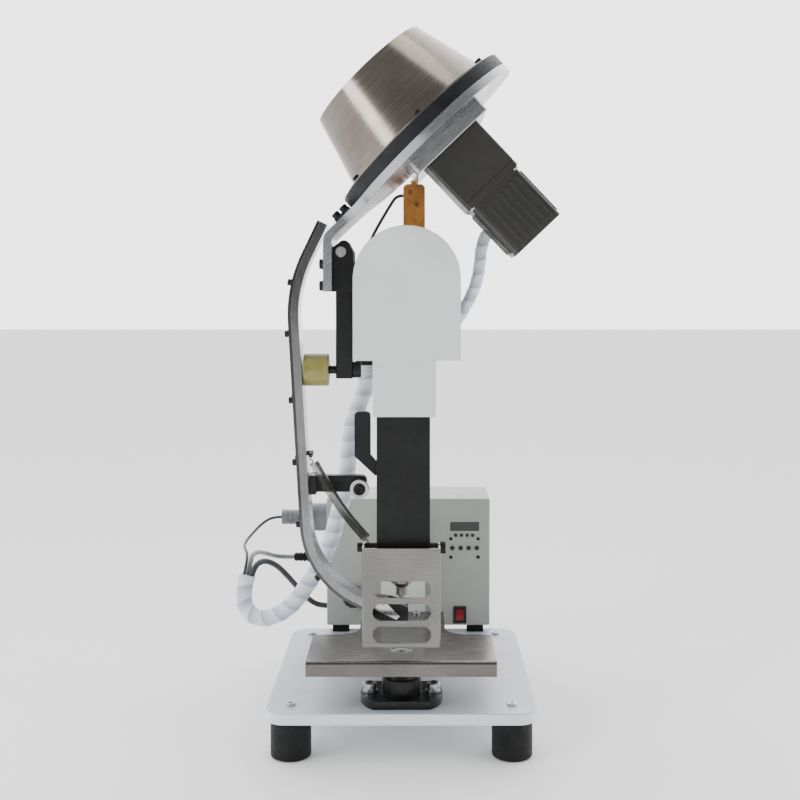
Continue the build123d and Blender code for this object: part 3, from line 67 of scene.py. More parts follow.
bpy.ops.mesh.primitive_plane_add(size=FLOOR_SIZE, location=(0, 0, -FLOOR_DROP))
floor = bpy.context.object
floor.name = "floor"
floor_paint = bpy.data.materials.new("floor_paint")
floor_paint.use_nodes = True
floor_shader = floor_paint.node_tree.nodes["Principled BSDF"]
floor_shader.inputs["Base Color"].default_value = (0.98, 0.98, 0.98, 1)
floor_shader.inputs["Roughness"].default_value = 0.85
floor.data.materials.append(floor_paint)

world = bpy.data.worlds.new("studio")
bpy.context.scene.world = world
world.use_nodes = True
sky = world.node_tree
background = sky.nodes["Background"]
direction = sky.nodes.new("ShaderNodeTexCoord")
split = sky.nodes.new("ShaderNodeSeparateXYZ")
fade = sky.nodes.new("ShaderNodeMapRange")
fade.inputs["From Min"].default_value, fade.inputs["From Max"].default_value = SURROUND_SPAN
fade.inputs["To Min"].default_value, fade.inputs["To Max"].default_value = SURROUND_STRENGTH
sky.links.new(direction.outputs["Generated"], split.inputs[0])
sky.links.new(split.outputs["Y"], fade.inputs["Value"])
sky.links.new(fade.outputs["Result"], background.inputs["Strength"])
background.inputs["Color"].default_value = (1, 1, 1, 1)


def soft_box(name, place, aim, width, height, watts):
    """A rectangular lamp that looks at a point."""
    bpy.ops.object.light_add(type="AREA", location=place)
    lamp = bpy.context.object
    lamp.name = name
    lamp.data.shape = "RECTANGLE"
    lamp.data.size, lamp.data.size_y = width, height
    lamp.data.energy = watts
    lamp.rotation_euler = (Vector(aim) - Vector(place)).to_track_quat("-Z", "Y").to_euler()


soft_box("soft_box_left", (-1.5, -1.1, 1.2), (0, 0, 0.45), 0.5, 1.5, 19)
soft_box("soft_box_right", (1.7, -0.9, 1.0), (0, 0, 0.5), 0.4, 1.4, 7)
soft_box("soft_box_top", (0.0, -0.3, 2.1), (0, 0, 0.3), 1.0, 0.7, 5)


# ---- Base plate: a rounded 14 mm steel plate, powder coated, on four rubber feet.
# The coat is a faint orange peel; its sides are painted paler than its greyer top, a painted
# highlight.


def start_finish(name):
    """A new material with its shader and object coordinates."""
    made = bpy.data.materials.new(name)
    made.use_nodes = True
    tree = made.node_tree
    coords = tree.nodes.new("ShaderNodeTexCoord").outputs["Object"]
    return made, tree, tree.nodes["Principled BSDF"], coords


def grain(tree, coords, scale, stretch=(1, 1, 1), turn=(0, 0, 0), detail=3.0):
    """Noise in 1/m, drawn out along an axis where stretch is small there."""
    place = tree.nodes.new("ShaderNodeMapping")
    place.vector_type = "TEXTURE"
    place.inputs["Rotation"].default_value = turn
    tree.links.new(coords, place.inputs["Vector"])
    size = tree.nodes.new("ShaderNodeMapping")
    size.inputs["Scale"].default_value = stretch
    tree.links.new(place.outputs[0], size.inputs["Vector"])
    cloud = tree.nodes.new("ShaderNodeTexNoise")
    cloud.inputs["Scale"].default_value = scale
    cloud.inputs["Detail"].default_value = detail
    tree.links.new(size.outputs[0], cloud.inputs["Vector"])
    return cloud.outputs["Fac"]


def spread(tree, value, low, high, from_low=0.3, from_high=0.7):
    """Maps a noise value on to a range."""
    ranged = tree.nodes.new("ShaderNodeMapRange")
    for key, number in (
        ("From Min", from_low), ("From Max", from_high), ("To Min", low), ("To Max", high)
    ):
        ranged.inputs[key].default_value = number
    tree.links.new(value, ranged.inputs["Value"])
    return ranged.outputs["Result"]


def shade(tree, value, dark, light):
    """A colour between dark and light."""
    mixed = tree.nodes.new("ShaderNodeMix")
    mixed.data_type = "RGBA"
    mixed.inputs["A"].default_value = (*dark, 1)
    mixed.inputs["B"].default_value = (*light, 1)
    tree.links.new(value, mixed.inputs["Factor"])
    return mixed.outputs["Result"]


def relief(tree, shader, height, strength, depth, edge=0.0006):
    """Fine bumps over softly rounded edges."""
    rounded = tree.nodes.new("ShaderNodeBevel")
    rounded.samples = 4
    rounded.inputs["Radius"].default_value = edge
    bumps = tree.nodes.new("ShaderNodeBump")
    bumps.inputs["Strength"].default_value = strength
    bumps.inputs["Distance"].default_value = depth
    tree.links.new(height, bumps.inputs["Height"])
    tree.links.new(rounded.outputs["Normal"], bumps.inputs["Normal"])
    tree.links.new(bumps.outputs["Normal"], shader.inputs["Normal"])
    return rounded.outputs["Normal"]


def edge_wear_and_highlight(tree, rounded_normal, low=0.012, high=0.12):
    """Nearly 1 on convex and concave edges and 0 on flats."""
    surface = tree.nodes.new("ShaderNodeNewGeometry")
    dot = tree.nodes.new("ShaderNodeVectorMath")
    dot.operation = "DOT_PRODUCT"
    tree.links.new(rounded_normal, dot.inputs[0])
    tree.links.new(surface.outputs["Normal"], dot.inputs[1])
    turned = tree.nodes.new("ShaderNodeMath")
    turned.operation = "SUBTRACT"
    turned.inputs[0].default_value = 1.0
    tree.links.new(dot.outputs["Value"], turned.inputs[1])
    return spread(tree, turned.outputs[0], 0, 1, low, high)


def times(tree, a, b):
    """Product of two values."""
    product = tree.nodes.new("ShaderNodeMath")
    product.operation = "MULTIPLY"
    tree.links.new(a, product.inputs[0])
    tree.links.new(b, product.inputs[1])
    return product.outputs[0]


def blend_colour(tree, value, underside_shade, over):
    """Lays the colour over on the colour under."""
    mixed = tree.nodes.new("ShaderNodeMix")
    mixed.data_type = "RGBA"
    tree.links.new(underside_shade, mixed.inputs["A"])
    mixed.inputs["B"].default_value = (*over, 1)
    tree.links.new(value, mixed.inputs["Factor"])
    return mixed.outputs["Result"]


def powder_coat(name, dark, light, rough=0.42, peel=0.25):
    """Baked powder paint with a faint orange peel and a painted highlight along its edges."""
    made, tree, shader, coords = start_finish(name)
    soft = spread(tree, grain(tree, coords, 9, detail=5), 0, 1)
    normal = relief(tree, shader, grain(tree, coords, 1100, detail=2), peel, 0.00025, 0.0008)
    # On powder coat the edge mask lays a lighter tone of the paint: painted highlight, not wear.
    rub_and_highlight = times(tree, edge_wear_and_highlight(tree, normal), spread(tree, grain(tree, coords, 160), 0, 0.5))
    colour = shade(tree, soft, dark, light)
    edge_highlight_colour = [min(1, 1.06 * c + 0.04) for c in light]
    tree.links.new(blend_colour(tree, rub_and_highlight, colour, edge_highlight_colour), shader.inputs["Base Color"])
    tree.links.new(
        spread(tree, grain(tree, coords, 60), rough - 0.06, rough + 0.1), shader.inputs["Roughness"]
    )
    shader.inputs["Coat Weight"].default_value = 0.12
    shader.inputs["Coat Roughness"].default_value = 0.25
    return made


def dress(material, *names):
    """Gives CAD nodes a finish."""
    for name in names:
        for holder in nodes[name].material_slots:
            holder.material = material


base_paint = powder_coat("base_paint", (0.43, 0.48, 0.54), (0.54, 0.58, 0.64), 0.36)
base_tree = base_paint.node_tree
base_shader = base_tree.nodes["Principled BSDF"]
BASE_TOP_Z = 0.060
SIDE_LIGHT_FULL_BELOW = 0.0016  # under the top, where the sides' painted highlight has its full colour
SIDE_LIGHT_NONE_BELOW = 0.0004
height = base_tree.nodes.new("ShaderNodeSeparateXYZ")
base_tree.links.new(base_tree.nodes["Texture Coordinate"].outputs["Object"], height.inputs[0])
# Below the top the sides blend to a pale colour: painted highlight on the sides.
side_light_mask = spread(
    base_tree, height.outputs["Z"], 1, 0, BASE_TOP_Z - SIDE_LIGHT_FULL_BELOW, BASE_TOP_Z - SIDE_LIGHT_NONE_BELOW
)
base_colour = base_shader.inputs["Base Color"].links[0].from_socket
base_tree.links.new(
    blend_colour(base_tree, side_light_mask, base_colour, (0.84, 0.87, 0.9)), base_shader.inputs["Base Color"]
)
dress(base_paint, "base_plate")


# ---- Feet and strips: black moulded rubber, slightly dusty, matt.


def rubber(name, dark, light, rough=0.72):
    """Matt moulded rubber with a fine skin and pale dust."""
    made, tree, shader, coords = start_finish(name)
    tree.links.new(
        shade(tree, spread(tree, grain(tree, coords, 45, detail=6), 0, 1), dark, light),
        shader.inputs["Base Color"]
    )
    tree.links.new(
        spread(tree, grain(tree, coords, 300), rough - 0.1, rough + 0.12),
        shader.inputs["Roughness"]
    )
    relief(tree, shader, grain(tree, coords, 1600), 0.3, 0.0002, 0.001)
    shader.inputs["Specular IOR Level"].default_value = 0.25
    return made


foot_rubber = rubber("foot_rubber", (0.003, 0.0032, 0.0036), (0.009, 0.0095, 0.011), 0.55)
dress(foot_rubber, "rubber_feet", "strain_relief")


# ---- Screws and pins: zinc-plated or blackened steel, turned, with bright worn edges.


def bare_steel(
    name, dark, light, rough, stretch=(1, 1, 1), turn=(0, 0, 0), scale=500, bite=0.2, stain=0.5
):
    """Bare metal with drawn-out grinding or brushing lines and faint smears."""
    made, tree, shader, coords = start_finish(name)
    shader.inputs["Metallic"].default_value = 1.0
    lines = grain(tree, coords, scale, stretch, turn, detail=4)
    smear = grain(tree, coords, 14, detail=5)
    tone = times(tree, spread(tree, lines, 0.55, 1), spread(tree, smear, 1 - stain, 1))
    tree.links.new(shade(tree, tone, dark, light), shader.inputs["Base Color"])
    scuffs = times(
        tree, spread(tree, lines, 0.75, 1.2), spread(tree, smear, rough * 1.15, rough * 0.85)
    )
    tree.links.new(scuffs, shader.inputs["Roughness"])
    relief(tree, shader, lines, bite, 0.00012)
    return made


def blackened(
    name, rough=0.42, dark=(0.0025, 0.0027, 0.003), light=(0.0075, 0.008, 0.009), wear=0.45
):
    """Black-oxide steel: dark, oily, with bright edges where it is handled."""
    made, tree, shader, coords = start_finish(name)
    cloud = spread(tree, grain(tree, coords, 30, detail=6), 0, 1)
    normal = relief(tree, shader, grain(tree, coords, 900), 0.18, 0.00015)
    rub_and_highlight = times(tree, edge_wear_and_highlight(tree, normal), spread(tree, grain(tree, coords, 220), 0, wear))
    tree.links.new(
        blend_colour(tree, rub_and_highlight, shade(tree, cloud, dark, light), (0.3, 0.3, 0.31)),
        shader.inputs["Base Color"]
    )
    tree.links.new(
        spread(tree, grain(tree, coords, 80), rough - 0.08, rough + 0.12),
        shader.inputs["Roughness"]
    )
    shader.inputs["Specular IOR Level"].default_value = 0.3
    return made


zinc_steel = bare_steel("zinc_steel", (0.38, 0.39, 0.41), (0.62, 0.63, 0.66), 0.3, scale=700)
black_oxide = blackened("black_oxide")
dress(zinc_steel, "frame_screws")
dress(black_oxide, "feeder_screws", "guard_pins", "stop_screw", "arm_glands")


# ---- Die post and lower die: a flanged post in black oxide that carries a ground steel die.

dress(blackened("post_black", 0.34), "die_post")
dress(
    bare_steel(
        "ground_die_steel", (0.35, 0.35, 0.36), (0.7, 0.7, 0.71), 0.2, (1, 1, 0.2), scale=900
    ),
    "lower_die", "nose_guide"
)


# ---- Work table: 2.5 mm stainless sheet, brushed from side to side, with a folded front lip.

table_steel = bare_steel(
    "table_steel", (0.06, 0.054, 0.05), (0.19, 0.176, 0.165), 0.25, (0.03, 1, 1), scale=1100,
    bite=0.08
)
dress(table_steel, "work_table")


# ---- C-frame, head cover and linkage cover: welded steel and folded sheet, white powder coat.

dress(powder_coat("frame_paint", (0.68, 0.71, 0.71), (0.78, 0.8, 0.8)), "c_frame")
cover_paint = powder_coat("cover_paint", (0.66, 0.69, 0.685), (0.74, 0.765, 0.76), 0.4, 0.3)
dress(cover_paint, "head_cover", "linkage_cover")
dress(black_oxide, "head_plate")


# ---- Ram, punch and drive: a blackened housing round a ground ram, and a crank behind the cover.

dress(
    blackened("housing_black", 0.5, (0.0022, 0.0024, 0.0027), (0.006, 0.0065, 0.007), 0.3),
    "ram_housing"
)
ram_steel = bare_steel(
    "ram_steel", (0.3, 0.3, 0.31), (0.62, 0.62, 0.63), 0.24, (1, 1, 0.04), scale=900
)
dress(ram_steel, "ram", "crank", "pivot_pin")
dress(
    bare_steel("punch_steel", (0.07, 0.065, 0.06), (0.3, 0.28, 0.26), 0.32, (1, 1, 0.3), scale=800),
    "punch"
)
dress(blackened("cam_black", 0.45), "cam_plate")
motor_paint = powder_coat("motor_paint", (0.035, 0.036, 0.038), (0.06, 0.06, 0.063), 0.5)
dress(motor_paint, "drive_motor")


# ---- Guard: 2 mm stainless sheet with three slots, brushed from side to side.

guard_steel = bare_steel(
    "guard_steel", (0.085, 0.08, 0.076), (0.24, 0.232, 0.222), 0.27, (0.04, 1, 1), scale=1200,
    bite=0.08, stain=0.35
)
dress(guard_steel, "guard")


# ---- Stop arm and bumper: a black bracket under the clevis, with a cast polyurethane pad.

dress(blackened("bracket_black", 0.4), "stop_arm", "clevis_cheeks", "lever_bar", "chute_nose")
bumper_pad, pad_tree, pad_shader, pad_coords = start_finish("bumper_pad")
pad_cloud = spread(pad_tree, grain(pad_tree, pad_coords, 40, detail=6), 0, 1)
pad_tree.links.new(
    shade(pad_tree, pad_cloud, (0.17, 0.15, 0.035), (0.34, 0.305, 0.09)),
    pad_shader.inputs["Base Color"]
)
pad_tree.links.new(
    spread(pad_tree, grain(pad_tree, pad_coords, 200), 0.34, 0.5), pad_shader.inputs["Roughness"]
)
pad_shader.inputs["Subsurface Weight"].default_value = 0.35
pad_shader.inputs["Subsurface Radius"].default_value = (0.006, 0.005, 0.001)
relief(pad_tree, pad_shader, grain(pad_tree, pad_coords, 500), 0.25, 0.0002, 0.001)
dress(bumper_pad, "bumper")


# ---- Hopper: a tilted stainless drum in a black ring on a milled aluminium plate.
# Spinning leaves fine rings round the drum's axis.

HOPPER_TILT = radians(43.6)
TILT = (0, -HOPPER_TILT, 0)
drum_steel = bare_steel(
    "drum_steel", (0.085, 0.068, 0.056), (0.33, 0.29, 0.255), 0.17, (0.02, 0.02, 1), TILT, 1400,
    0.05, 0.45
)
dress(drum_steel, "hopper_drum")
ring_plastic = rubber("ring_plastic", (0.004, 0.0048, 0.0065), (0.012, 0.0135, 0.017), 0.45)
dress(ring_plastic, "hopper_ring")
milled = bare_steel(
    "milled_aluminium", (0.2, 0.205, 0.21), (0.46, 0.47, 0.485), 0.24, (0.04, 1, 1), TILT, 1300,
    0.03, 0.35
)
plate_tree = milled.node_tree
plate_shader = plate_tree.nodes["Principled BSDF"]
# Faces turned down under the tilted plate are darkened towards black: painted shade.
facing = plate_tree.nodes.new("ShaderNodeVectorMath")
facing.operation = "DOT_PRODUCT"
facing.inputs[1].default_value = (sin(HOPPER_TILT), 0, -cos(HOPPER_TILT))
plate_tree.links.new(
    plate_tree.nodes.new("ShaderNodeNewGeometry").outputs["Normal"], facing.inputs[0]
)
underside_shade = spread(plate_tree, facing.outputs["Value"], 0, 1, 0.8, 0.95)
plate_colour = plate_shader.inputs["Base Color"].links[0].from_socket
plate_tree.links.new(
    blend_colour(plate_tree, underside_shade, plate_colour, (0.03, 0.031, 0.035)),
    plate_shader.inputs["Base Color"]
)
dress(milled, "hopper_plate", "mount_plate")
brush_plastic = rubber("brush_plastic", (0.55, 0.54, 0.5), (0.7, 0.69, 0.65), 0.6)
dress(brush_plastic, "hopper_brush")


# ---- Gear motor: an olive-grey painted gearbox and a ribbed motor body.

gear_paint = powder_coat("gear_paint", (0.014, 0.014, 0.011), (0.027, 0.026, 0.021), 0.36, 0.3)
dress(gear_paint, "gearbox", "hopper_motor")


# ---- Chute and roller: polished stainless rail with a cover strip in a darker copy of its steel as painted shade, and a bearing roller.

dress(
    bare_steel(
        "rail_steel", (0.06, 0.06, 0.063), (0.26, 0.262, 0.272), 0.13, (1, 1, 0.05), scale=900,
        bite=0.04, stain=0.4
    ),
    "chute_rail"
)
# The cover strip and entry take a darker copy of the rail's stainless steel: painted shade.
dress(
    bare_steel(
        "shaded_strip_steel", (0.025, 0.024, 0.023), (0.1, 0.097, 0.094), 0.2, (1, 1, 0.05), scale=900,
        bite=0.04
    ),
    "chute_cover", "chute_entry"
)
dress(
    bare_steel("roller_steel", (0.3, 0.3, 0.31), (0.62, 0.6, 0.62), 0.22, scale=900), "cam_roller"
)


# ---- Control box: folded sheet in light grey-green powder coat, with its panel and sockets.

dress(powder_coat("box_paint", (0.31, 0.325, 0.3), (0.38, 0.395, 0.365), 0.46, 0.3), "box_shell")


def plastic(name, dark, light, rough, skin=0.12):
    """Moulded plastic with a fine spark-eroded skin and finger smears."""
    made, tree, shader, coords = start_finish(name)
    tree.links.new(
        shade(tree, spread(tree, grain(tree, coords, 50, detail=5), 0, 1), dark, light),
        shader.inputs["Base Color"]
    )
    tree.links.new(
        spread(tree, grain(tree, coords, 90, detail=6), rough * 0.8, rough * 1.3),
        shader.inputs["Roughness"]
    )
    relief(tree, shader, grain(tree, coords, 2200), skin, 0.0001, 0.0004)
    return made


black_plastic = plastic("black_plastic", (0.003, 0.0032, 0.0036), (0.009, 0.0095, 0.011), 0.34)
dress(black_plastic, "switch_bezel", "knob", "button_1", "button_2", "button_3", "button_4")
dress(
    plastic("display_glass", (0.002, 0.0024, 0.003), (0.005, 0.0055, 0.007), 0.12, 0.02), "display"
)
dress(plastic("rocker_red", (0.2, 0.004, 0.005), (0.3, 0.008, 0.009), 0.22), "rocker")
dress(plastic("board_green", (0.01, 0.06, 0.03), (0.02, 0.1, 0.05), 0.4), "panel_board")
dress(
    plastic("socket_grey", (0.1, 0.112, 0.13), (0.2, 0.22, 0.25), 0.36), "box_sockets", "round_plug"
)


# ---- Sensor: an amber moulded block over the head, with its lead running down to the arm's gland.

sensor_amber = plastic("sensor_amber", (0.3, 0.115, 0.016), (0.48, 0.2, 0.03), 0.26)
sensor_amber.node_tree.nodes["Principled BSDF"].inputs["Subsurface Weight"].default_value = 0.12
sensor_amber.node_tree.nodes["Principled BSDF"].inputs["Subsurface Radius"].default_value = (
    0.003, 0.001, 0.0004
)
dress(sensor_amber, "sensor_block")


# ---- Cables: plain sheathed cords, each a smooth line through its own places on the frame.

DIE_AT = Vector((-12.5, -127.5, 0.0))


def route(points):
    """Places of a cord in the row frame, in metres, from millimetres about the die."""
    return [(Vector(p) + DIE_AT) / 1000 for p in points]


def smooth_line(name, places, radius=0.0):
    """A NURBS line through the places, as a tube if it has a radius."""
    line = bpy.data.curves.new(name, "CURVE")
    line.dimensions = "3D"
    run = line.splines.new("NURBS")
    run.points.add(len(places) - 1)
    for point, place in zip(run.points, places):
        point.co = (*place, 1)
    run.order_u = 3
    run.use_endpoint_u = True
    line.resolution_u = 12
    line.bevel_depth = radius
    line.bevel_resolution = 5
    line.use_fill_caps = radius > 0
    made = bpy.data.objects.new(name, line)
    bpy.context.collection.objects.link(made)
    return made


def sheath(name, dark, light, rough=0.5):
    """Extruded cable jacket with a fine skin."""
    made, tree, shader, coords = start_finish(name)
    tree.links.new(
        shade(tree, spread(tree, grain(tree, coords, 70, detail=5), 0, 1), dark, light),
        shader.inputs["Base Color"]
    )
    tree.links.new(
        spread(tree, grain(tree, coords, 250), rough - 0.1, rough + 0.1), shader.inputs["Roughness"]
    )
    bumps = tree.nodes.new("ShaderNodeBump")
    bumps.inputs["Strength"].default_value = 0.25
    bumps.inputs["Distance"].default_value = 0.0002
    tree.links.new(grain(tree, coords, 900), bumps.inputs["Height"])
    tree.links.new(bumps.outputs["Normal"], shader.inputs["Normal"])
    return made


BOX_LEFT = -112.0
CABLES = (
    (
        "sensor_lead", 2.2, 0.2163, ((0.004, 0.0042, 0.005), (0.012, 0.013, 0.015)),
        (
            (0.7, 140.0, 684.0), (-8.0, 140.0, 684.0), (-16.0, 139.0, 672.0),
            (-26.0, 137.0, 655.0), (-38.0, 133.0, 634.0), (-49.0, 128.0, 608.0),
            (-56.0, 121.0, 578.0), (-56.0, 113.0, 548.0), (-51.0, 110.0, 518.0),
            (-51.0, 110.0, 490.0),
        ),
    ),
    (
        "plug_cable", 2.0, 0.1819, ((0.02, 0.022, 0.026), (0.045, 0.048, 0.055)),
        (
            (BOX_LEFT - 70, 326.0, 220.0), (-196.0, 326.0, 220.0), (-210.0, 316.0, 213.0),
            (-221.0, 298.0, 203.0), (-228.0, 275.0, 196.0), (-228.0, 250.0, 193.0),
            (-223.0, 227.0, 193.0), (-217.0, 206.0, 191.0), (-216.4, 190.6, 180.5),
            (-219.5, 188.0, 167.1),
        ),
    ),
    (
        "inlet_cable", 3.2, 0.1717, ((0.16, 0.17, 0.18), (0.26, 0.27, 0.285)),
        (
            (BOX_LEFT - 52, 326.0, 160.0), (-178.0, 326.0, 160.0), (-191.0, 317.0, 163.0),
            (-200.0, 301.0, 170.0), (-206.0, 279.0, 177.0), (-209.0, 255.0, 183.0),
            (-210.5, 231.0, 187.0), (-211.5, 211.0, 187.5), (-212.3, 196.7, 177.95),
            (-215.3, 194.2, 164.95),
        ),
    ),
    (
        "box_conduit", 4.0, 0.1962, ((0.02, 0.023, 0.027), (0.05, 0.055, 0.062)),
        (
            (-208.6, 188.0, 164.6), (-205.9, 190.25, 176.3), (-197.0, 200.0, 183.0),
            (-188.0, 214.5, 179.0), (-178.0, 233.0, 168.0), (-168.0, 250.0, 152.0),
            (-158.0, 268.0, 134.0), (-148.0, 284.0, 116.0), (-137.0, 297.0, 101.0),
            (-124.0, 303.0, 93.0), (BOX_LEFT, 303.0, 93.0),
        ),
    ),
)
for name, radius, length, (dark, light), points in CABLES:
    places = route(points)
    cable = smooth_line(f"{name}_jacket", places, radius / 1000)
    cable.data.materials.append(sheath(f"{name}_sheath", dark, light))
    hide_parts(name)
    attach(cable, "frame")


# ---- Harnesses: bundles in white spiral wrap, each turn lapping over the one before.

WRAP_STEP = 0.0012  # how far a turn's edge stands over the next one
WRAP_RISE = 0.06  # share of a turn over which it steps up
WRAP_FALL = 0.75  # share of the step that the rest of the turn loses
WRAP_SIDES = 40
RINGS_PER_MM = 0.8


def line_places(name, points):
    """Evenly close places along a smooth line."""
    guide = smooth_line(name, points)
    mesh = bpy.data.meshes.new_from_object(
        guide.evaluated_get(bpy.context.evaluated_depsgraph_get())
    )
    places = [v.co.copy() for v in mesh.vertices]
    bpy.data.objects.remove(guide)
    bpy.data.meshes.remove(mesh)
    return places


def even(places, step):
    """The same line with its places a step apart."""
    lengths = [0.0]
    for a, b in zip(places, places[1:]):
        lengths.append(lengths[-1] + (b - a).length)
    count = max(2, round(lengths[-1] / step))
    out, k = [], 0
    for i in range(count + 1):
        s = lengths[-1] * i / count
        while k < len(places) - 2 and lengths[k + 1] < s:
            k += 1
        part = (s - lengths[k]) / max(1e-9, lengths[k + 1] - lengths[k])
        out.append(places[k].lerp(places[k + 1], min(1.0, part)))
    return out


def swept(name, places, profile, sides):
    """A closed tube along places whose radius is profile(distance, angle)."""
    mesh = bpy.data.meshes.new(name)
    shell = bmesh.new()
    reach = shell.verts.layers.float.new("reach")
    along = 0.0
    side_way = None
    rings = []
    for i, place in enumerate(places):
        ahead = (places[min(i + 1, len(places) - 1)] - places[max(i - 1, 0)]).normalized()
        if side_way is None:
            side_way = ahead.orthogonal().normalized()
        side_way = (side_way - ahead * side_way.dot(ahead)).normalized()
        up = ahead.cross(side_way)
        if i:
            along += (place - places[i - 1]).length
        ring = []
        for j in range(sides):
            angle = 2 * pi * j / sides
            out = profile(along, angle)
            spot = shell.verts.new(place + (side_way * cos(angle) + up * sin(angle)) * out)
            spot[reach] = out
            ring.append(spot)
        rings.append(ring)
    for low, high in zip(rings, rings[1:]):
        for j in range(sides):
            shell.faces.new((low[j], low[(j + 1) % sides], high[(j + 1) % sides], high[j]))
    shell.faces.new(reversed(rings[0]))
    shell.faces.new(rings[-1])
    bmesh.ops.recalc_face_normals(shell, faces=shell.faces)
    for face in shell.faces:
        face.smooth = True
    shell.to_mesh(mesh)
    shell.free()
    made = bpy.data.objects.new(name, mesh)
    bpy.context.collection.objects.link(made)
    return made


def wrapped(radius, pitch):
    """Radius of a lapped spiral wrap: it falls over each turn, then steps up to the next."""
    def profile(along, angle):
        turn = (along / pitch - angle / (2 * pi)) % 1.0
        rise = min(1.0, turn / WRAP_RISE)
        return radius - WRAP_STEP * (1 - rise * (1 - WRAP_FALL * turn))
    return profile


wrap_film, wrap_tree, wrap_shader, wrap_coords = start_finish("wrap_film")
wrap_cloud = spread(wrap_tree, grain(wrap_tree, wrap_coords, 60, detail=5), 0, 1)
wrap_tree.links.new(
    shade(wrap_tree, wrap_cloud, (0.66, 0.72, 0.82), (0.86, 0.89, 0.94)),
    wrap_shader.inputs["Base Color"]
)
wrap_tree.links.new(
    spread(wrap_tree, grain(wrap_tree, wrap_coords, 150), 0.22, 0.42),
    wrap_shader.inputs["Roughness"]
)
wrap_shader.inputs["Subsurface Weight"].default_value = 0.2
wrap_shader.inputs["Subsurface Radius"].default_value = (0.003, 0.003, 0.004)
wrap_bumps = wrap_tree.nodes.new("ShaderNodeBump")
wrap_bumps.inputs["Strength"].default_value = 0.3
wrap_bumps.inputs["Distance"].default_value = 0.0004
wrap_tree.links.new(grain(wrap_tree, wrap_coords, 320), wrap_bumps.inputs["Height"])
wrap_tree.links.new(wrap_bumps.outputs["Normal"], wrap_shader.inputs["Normal"])

# Low under each turn's overlapping edge the film is darkened to blue-grey: painted shade in the
# crease.
lap_height_for_shade = wrap_tree.nodes.new("ShaderNodeAttribute")
lap_height_for_shade.attribute_name = "lap"
wrap_colour = wrap_shader.inputs["Base Color"].links[0].from_socket
wrap_tree.links.new(
    blend_colour(
        wrap_tree, spread(wrap_tree, lap_height_for_shade.outputs["Fac"], 1, 0, 0.0, 0.75), wrap_colour,
        (0.3, 0.35, 0.45)
    ),
    wrap_shader.inputs["Base Color"],
)

HARNESS_POINTS = (
    (-46.0, 110.0, 462.0), (-46.0, 110.0, 440.0), (-55.0, 111.0, 414.0), (-66.0, 112.5, 387.0),
    (-70.5, 115.0, 351.0), (-73.0, 119.0, 316.0), (-81.0, 124.0, 279.0), (-90.0, 130.0, 244.0),
    (-101.0, 137.0, 211.0), (-115.0, 144.0, 184.0), (-130.0, 150.0, 160.0), (-147.0, 156.0, 136.0),
    (-168.0, 162.0, 119.0), (-192.0, 168.0, 110.0), (-213.0, 175.0, 117.0), (-221.0, 183.0, 140.0),
    (-215.0, 188.0, 166.0),
)
FEED_POINTS = (
    (110.5, 51.0, 633.37), (103.3, 51.0, 626.55), (98.5, 53.0, 607.0), (97.0, 55.0, 584.0),
    (91.5, 57.5, 561.0), (81.0, 60.0, 540.0), (69.0, 61.5, 520.0), (57.0, 62.0, 506.0),
    (44.0, 62.0, 506.0),
)
for name, points, radius, pitch, length in (
    ("main_harness", HARNESS_POINTS, 0.0115, 0.021, 0.4773),
    ("feed_harness", FEED_POINTS, 0.008, 0.018, 0.1543),
):
    places = even(line_places(f"{name}_line", route(points)), 0.001 / RINGS_PER_MM)
    wrap = swept(f"{name}_wrap", places, wrapped(radius, pitch), WRAP_SIDES)
    wrap.data.materials.append(wrap_film)
    laps = wrap.data.attributes.new("lap", "FLOAT", "POINT")
    for spot, out in zip(laps.data, wrap.data.attributes["reach"].data):
        spot.value = (out.value - (radius - WRAP_STEP)) / WRAP_STEP
    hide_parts(name)
    if name == "feed_harness":
        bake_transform(wrap)
    else:
        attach(wrap, "frame")


# ---- Return spring: 1.6 mm drawn wire wound into close coils, hooked at both ends.
# It stretches between the chute's stud and the housing; the coil is built in one pose and does not
# follow the feeder's swing.

SPRING_TOP = (Vector((-104.0, -23.0, 352.6)) + DIE_AT) / 1000
SPRING_FOOT = (Vector((-42.5, -23.0, 263.0)) + DIE_AT) / 1000
SPRING_COIL_R = 0.00545
WIRE_R = 0.0008
WIRE_SIDES = 8
TURN_PITCH = 0.0021
TURN_STEPS = 18
SPRING_SAG = 0.007
HOOK_ROOT = 0.003  # how far the wire leaves the coils before it bends to the hook
HOOK_REACH = 0.0075
HOOK_ASIDE = 0.0015
spring_run = SPRING_FOOT - SPRING_TOP
spring_way = spring_run.normalized()
turns = int(spring_run.length / TURN_PITCH)
across = spring_way.orthogonal().normalized()
beside = spring_way.cross(across)
wire = [
    SPRING_TOP - spring_way * HOOK_REACH + across * HOOK_ASIDE, SPRING_TOP - spring_way * HOOK_ROOT
]
for i in range(turns * TURN_STEPS + 1):
    part = i / (turns * TURN_STEPS)
    angle = 2 * pi * i / TURN_STEPS
    sag = Vector((0, 0, -SPRING_SAG * sin(pi * part)))
    wire.append(
        SPRING_TOP + spring_run * part + sag + (
            across * cos(angle) + beside * sin(angle)
        ) * SPRING_COIL_R
    )
wire += [
    SPRING_FOOT + spring_way * HOOK_ROOT,
    SPRING_FOOT + spring_way * HOOK_REACH + across * HOOK_ASIDE
]
coil = swept("spring_coil", wire, lambda along, angle: WIRE_R, WIRE_SIDES)
coil.data.materials.append(
    bare_steel(
        "spring_wire", (0.018, 0.018, 0.017), (0.09, 0.09, 0.086), 0.26, scale=1200, bite=0.05
    )
)
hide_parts("return_spring")
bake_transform(coil)


# ---- Panel lamps and screws: four smoked lamps and four small dark screws.


def at(x, y, z):
    """A place in the row frame, in metres, from millimetres about the die."""
    return (Vector((x, y, z)) + DIE_AT) / 1000


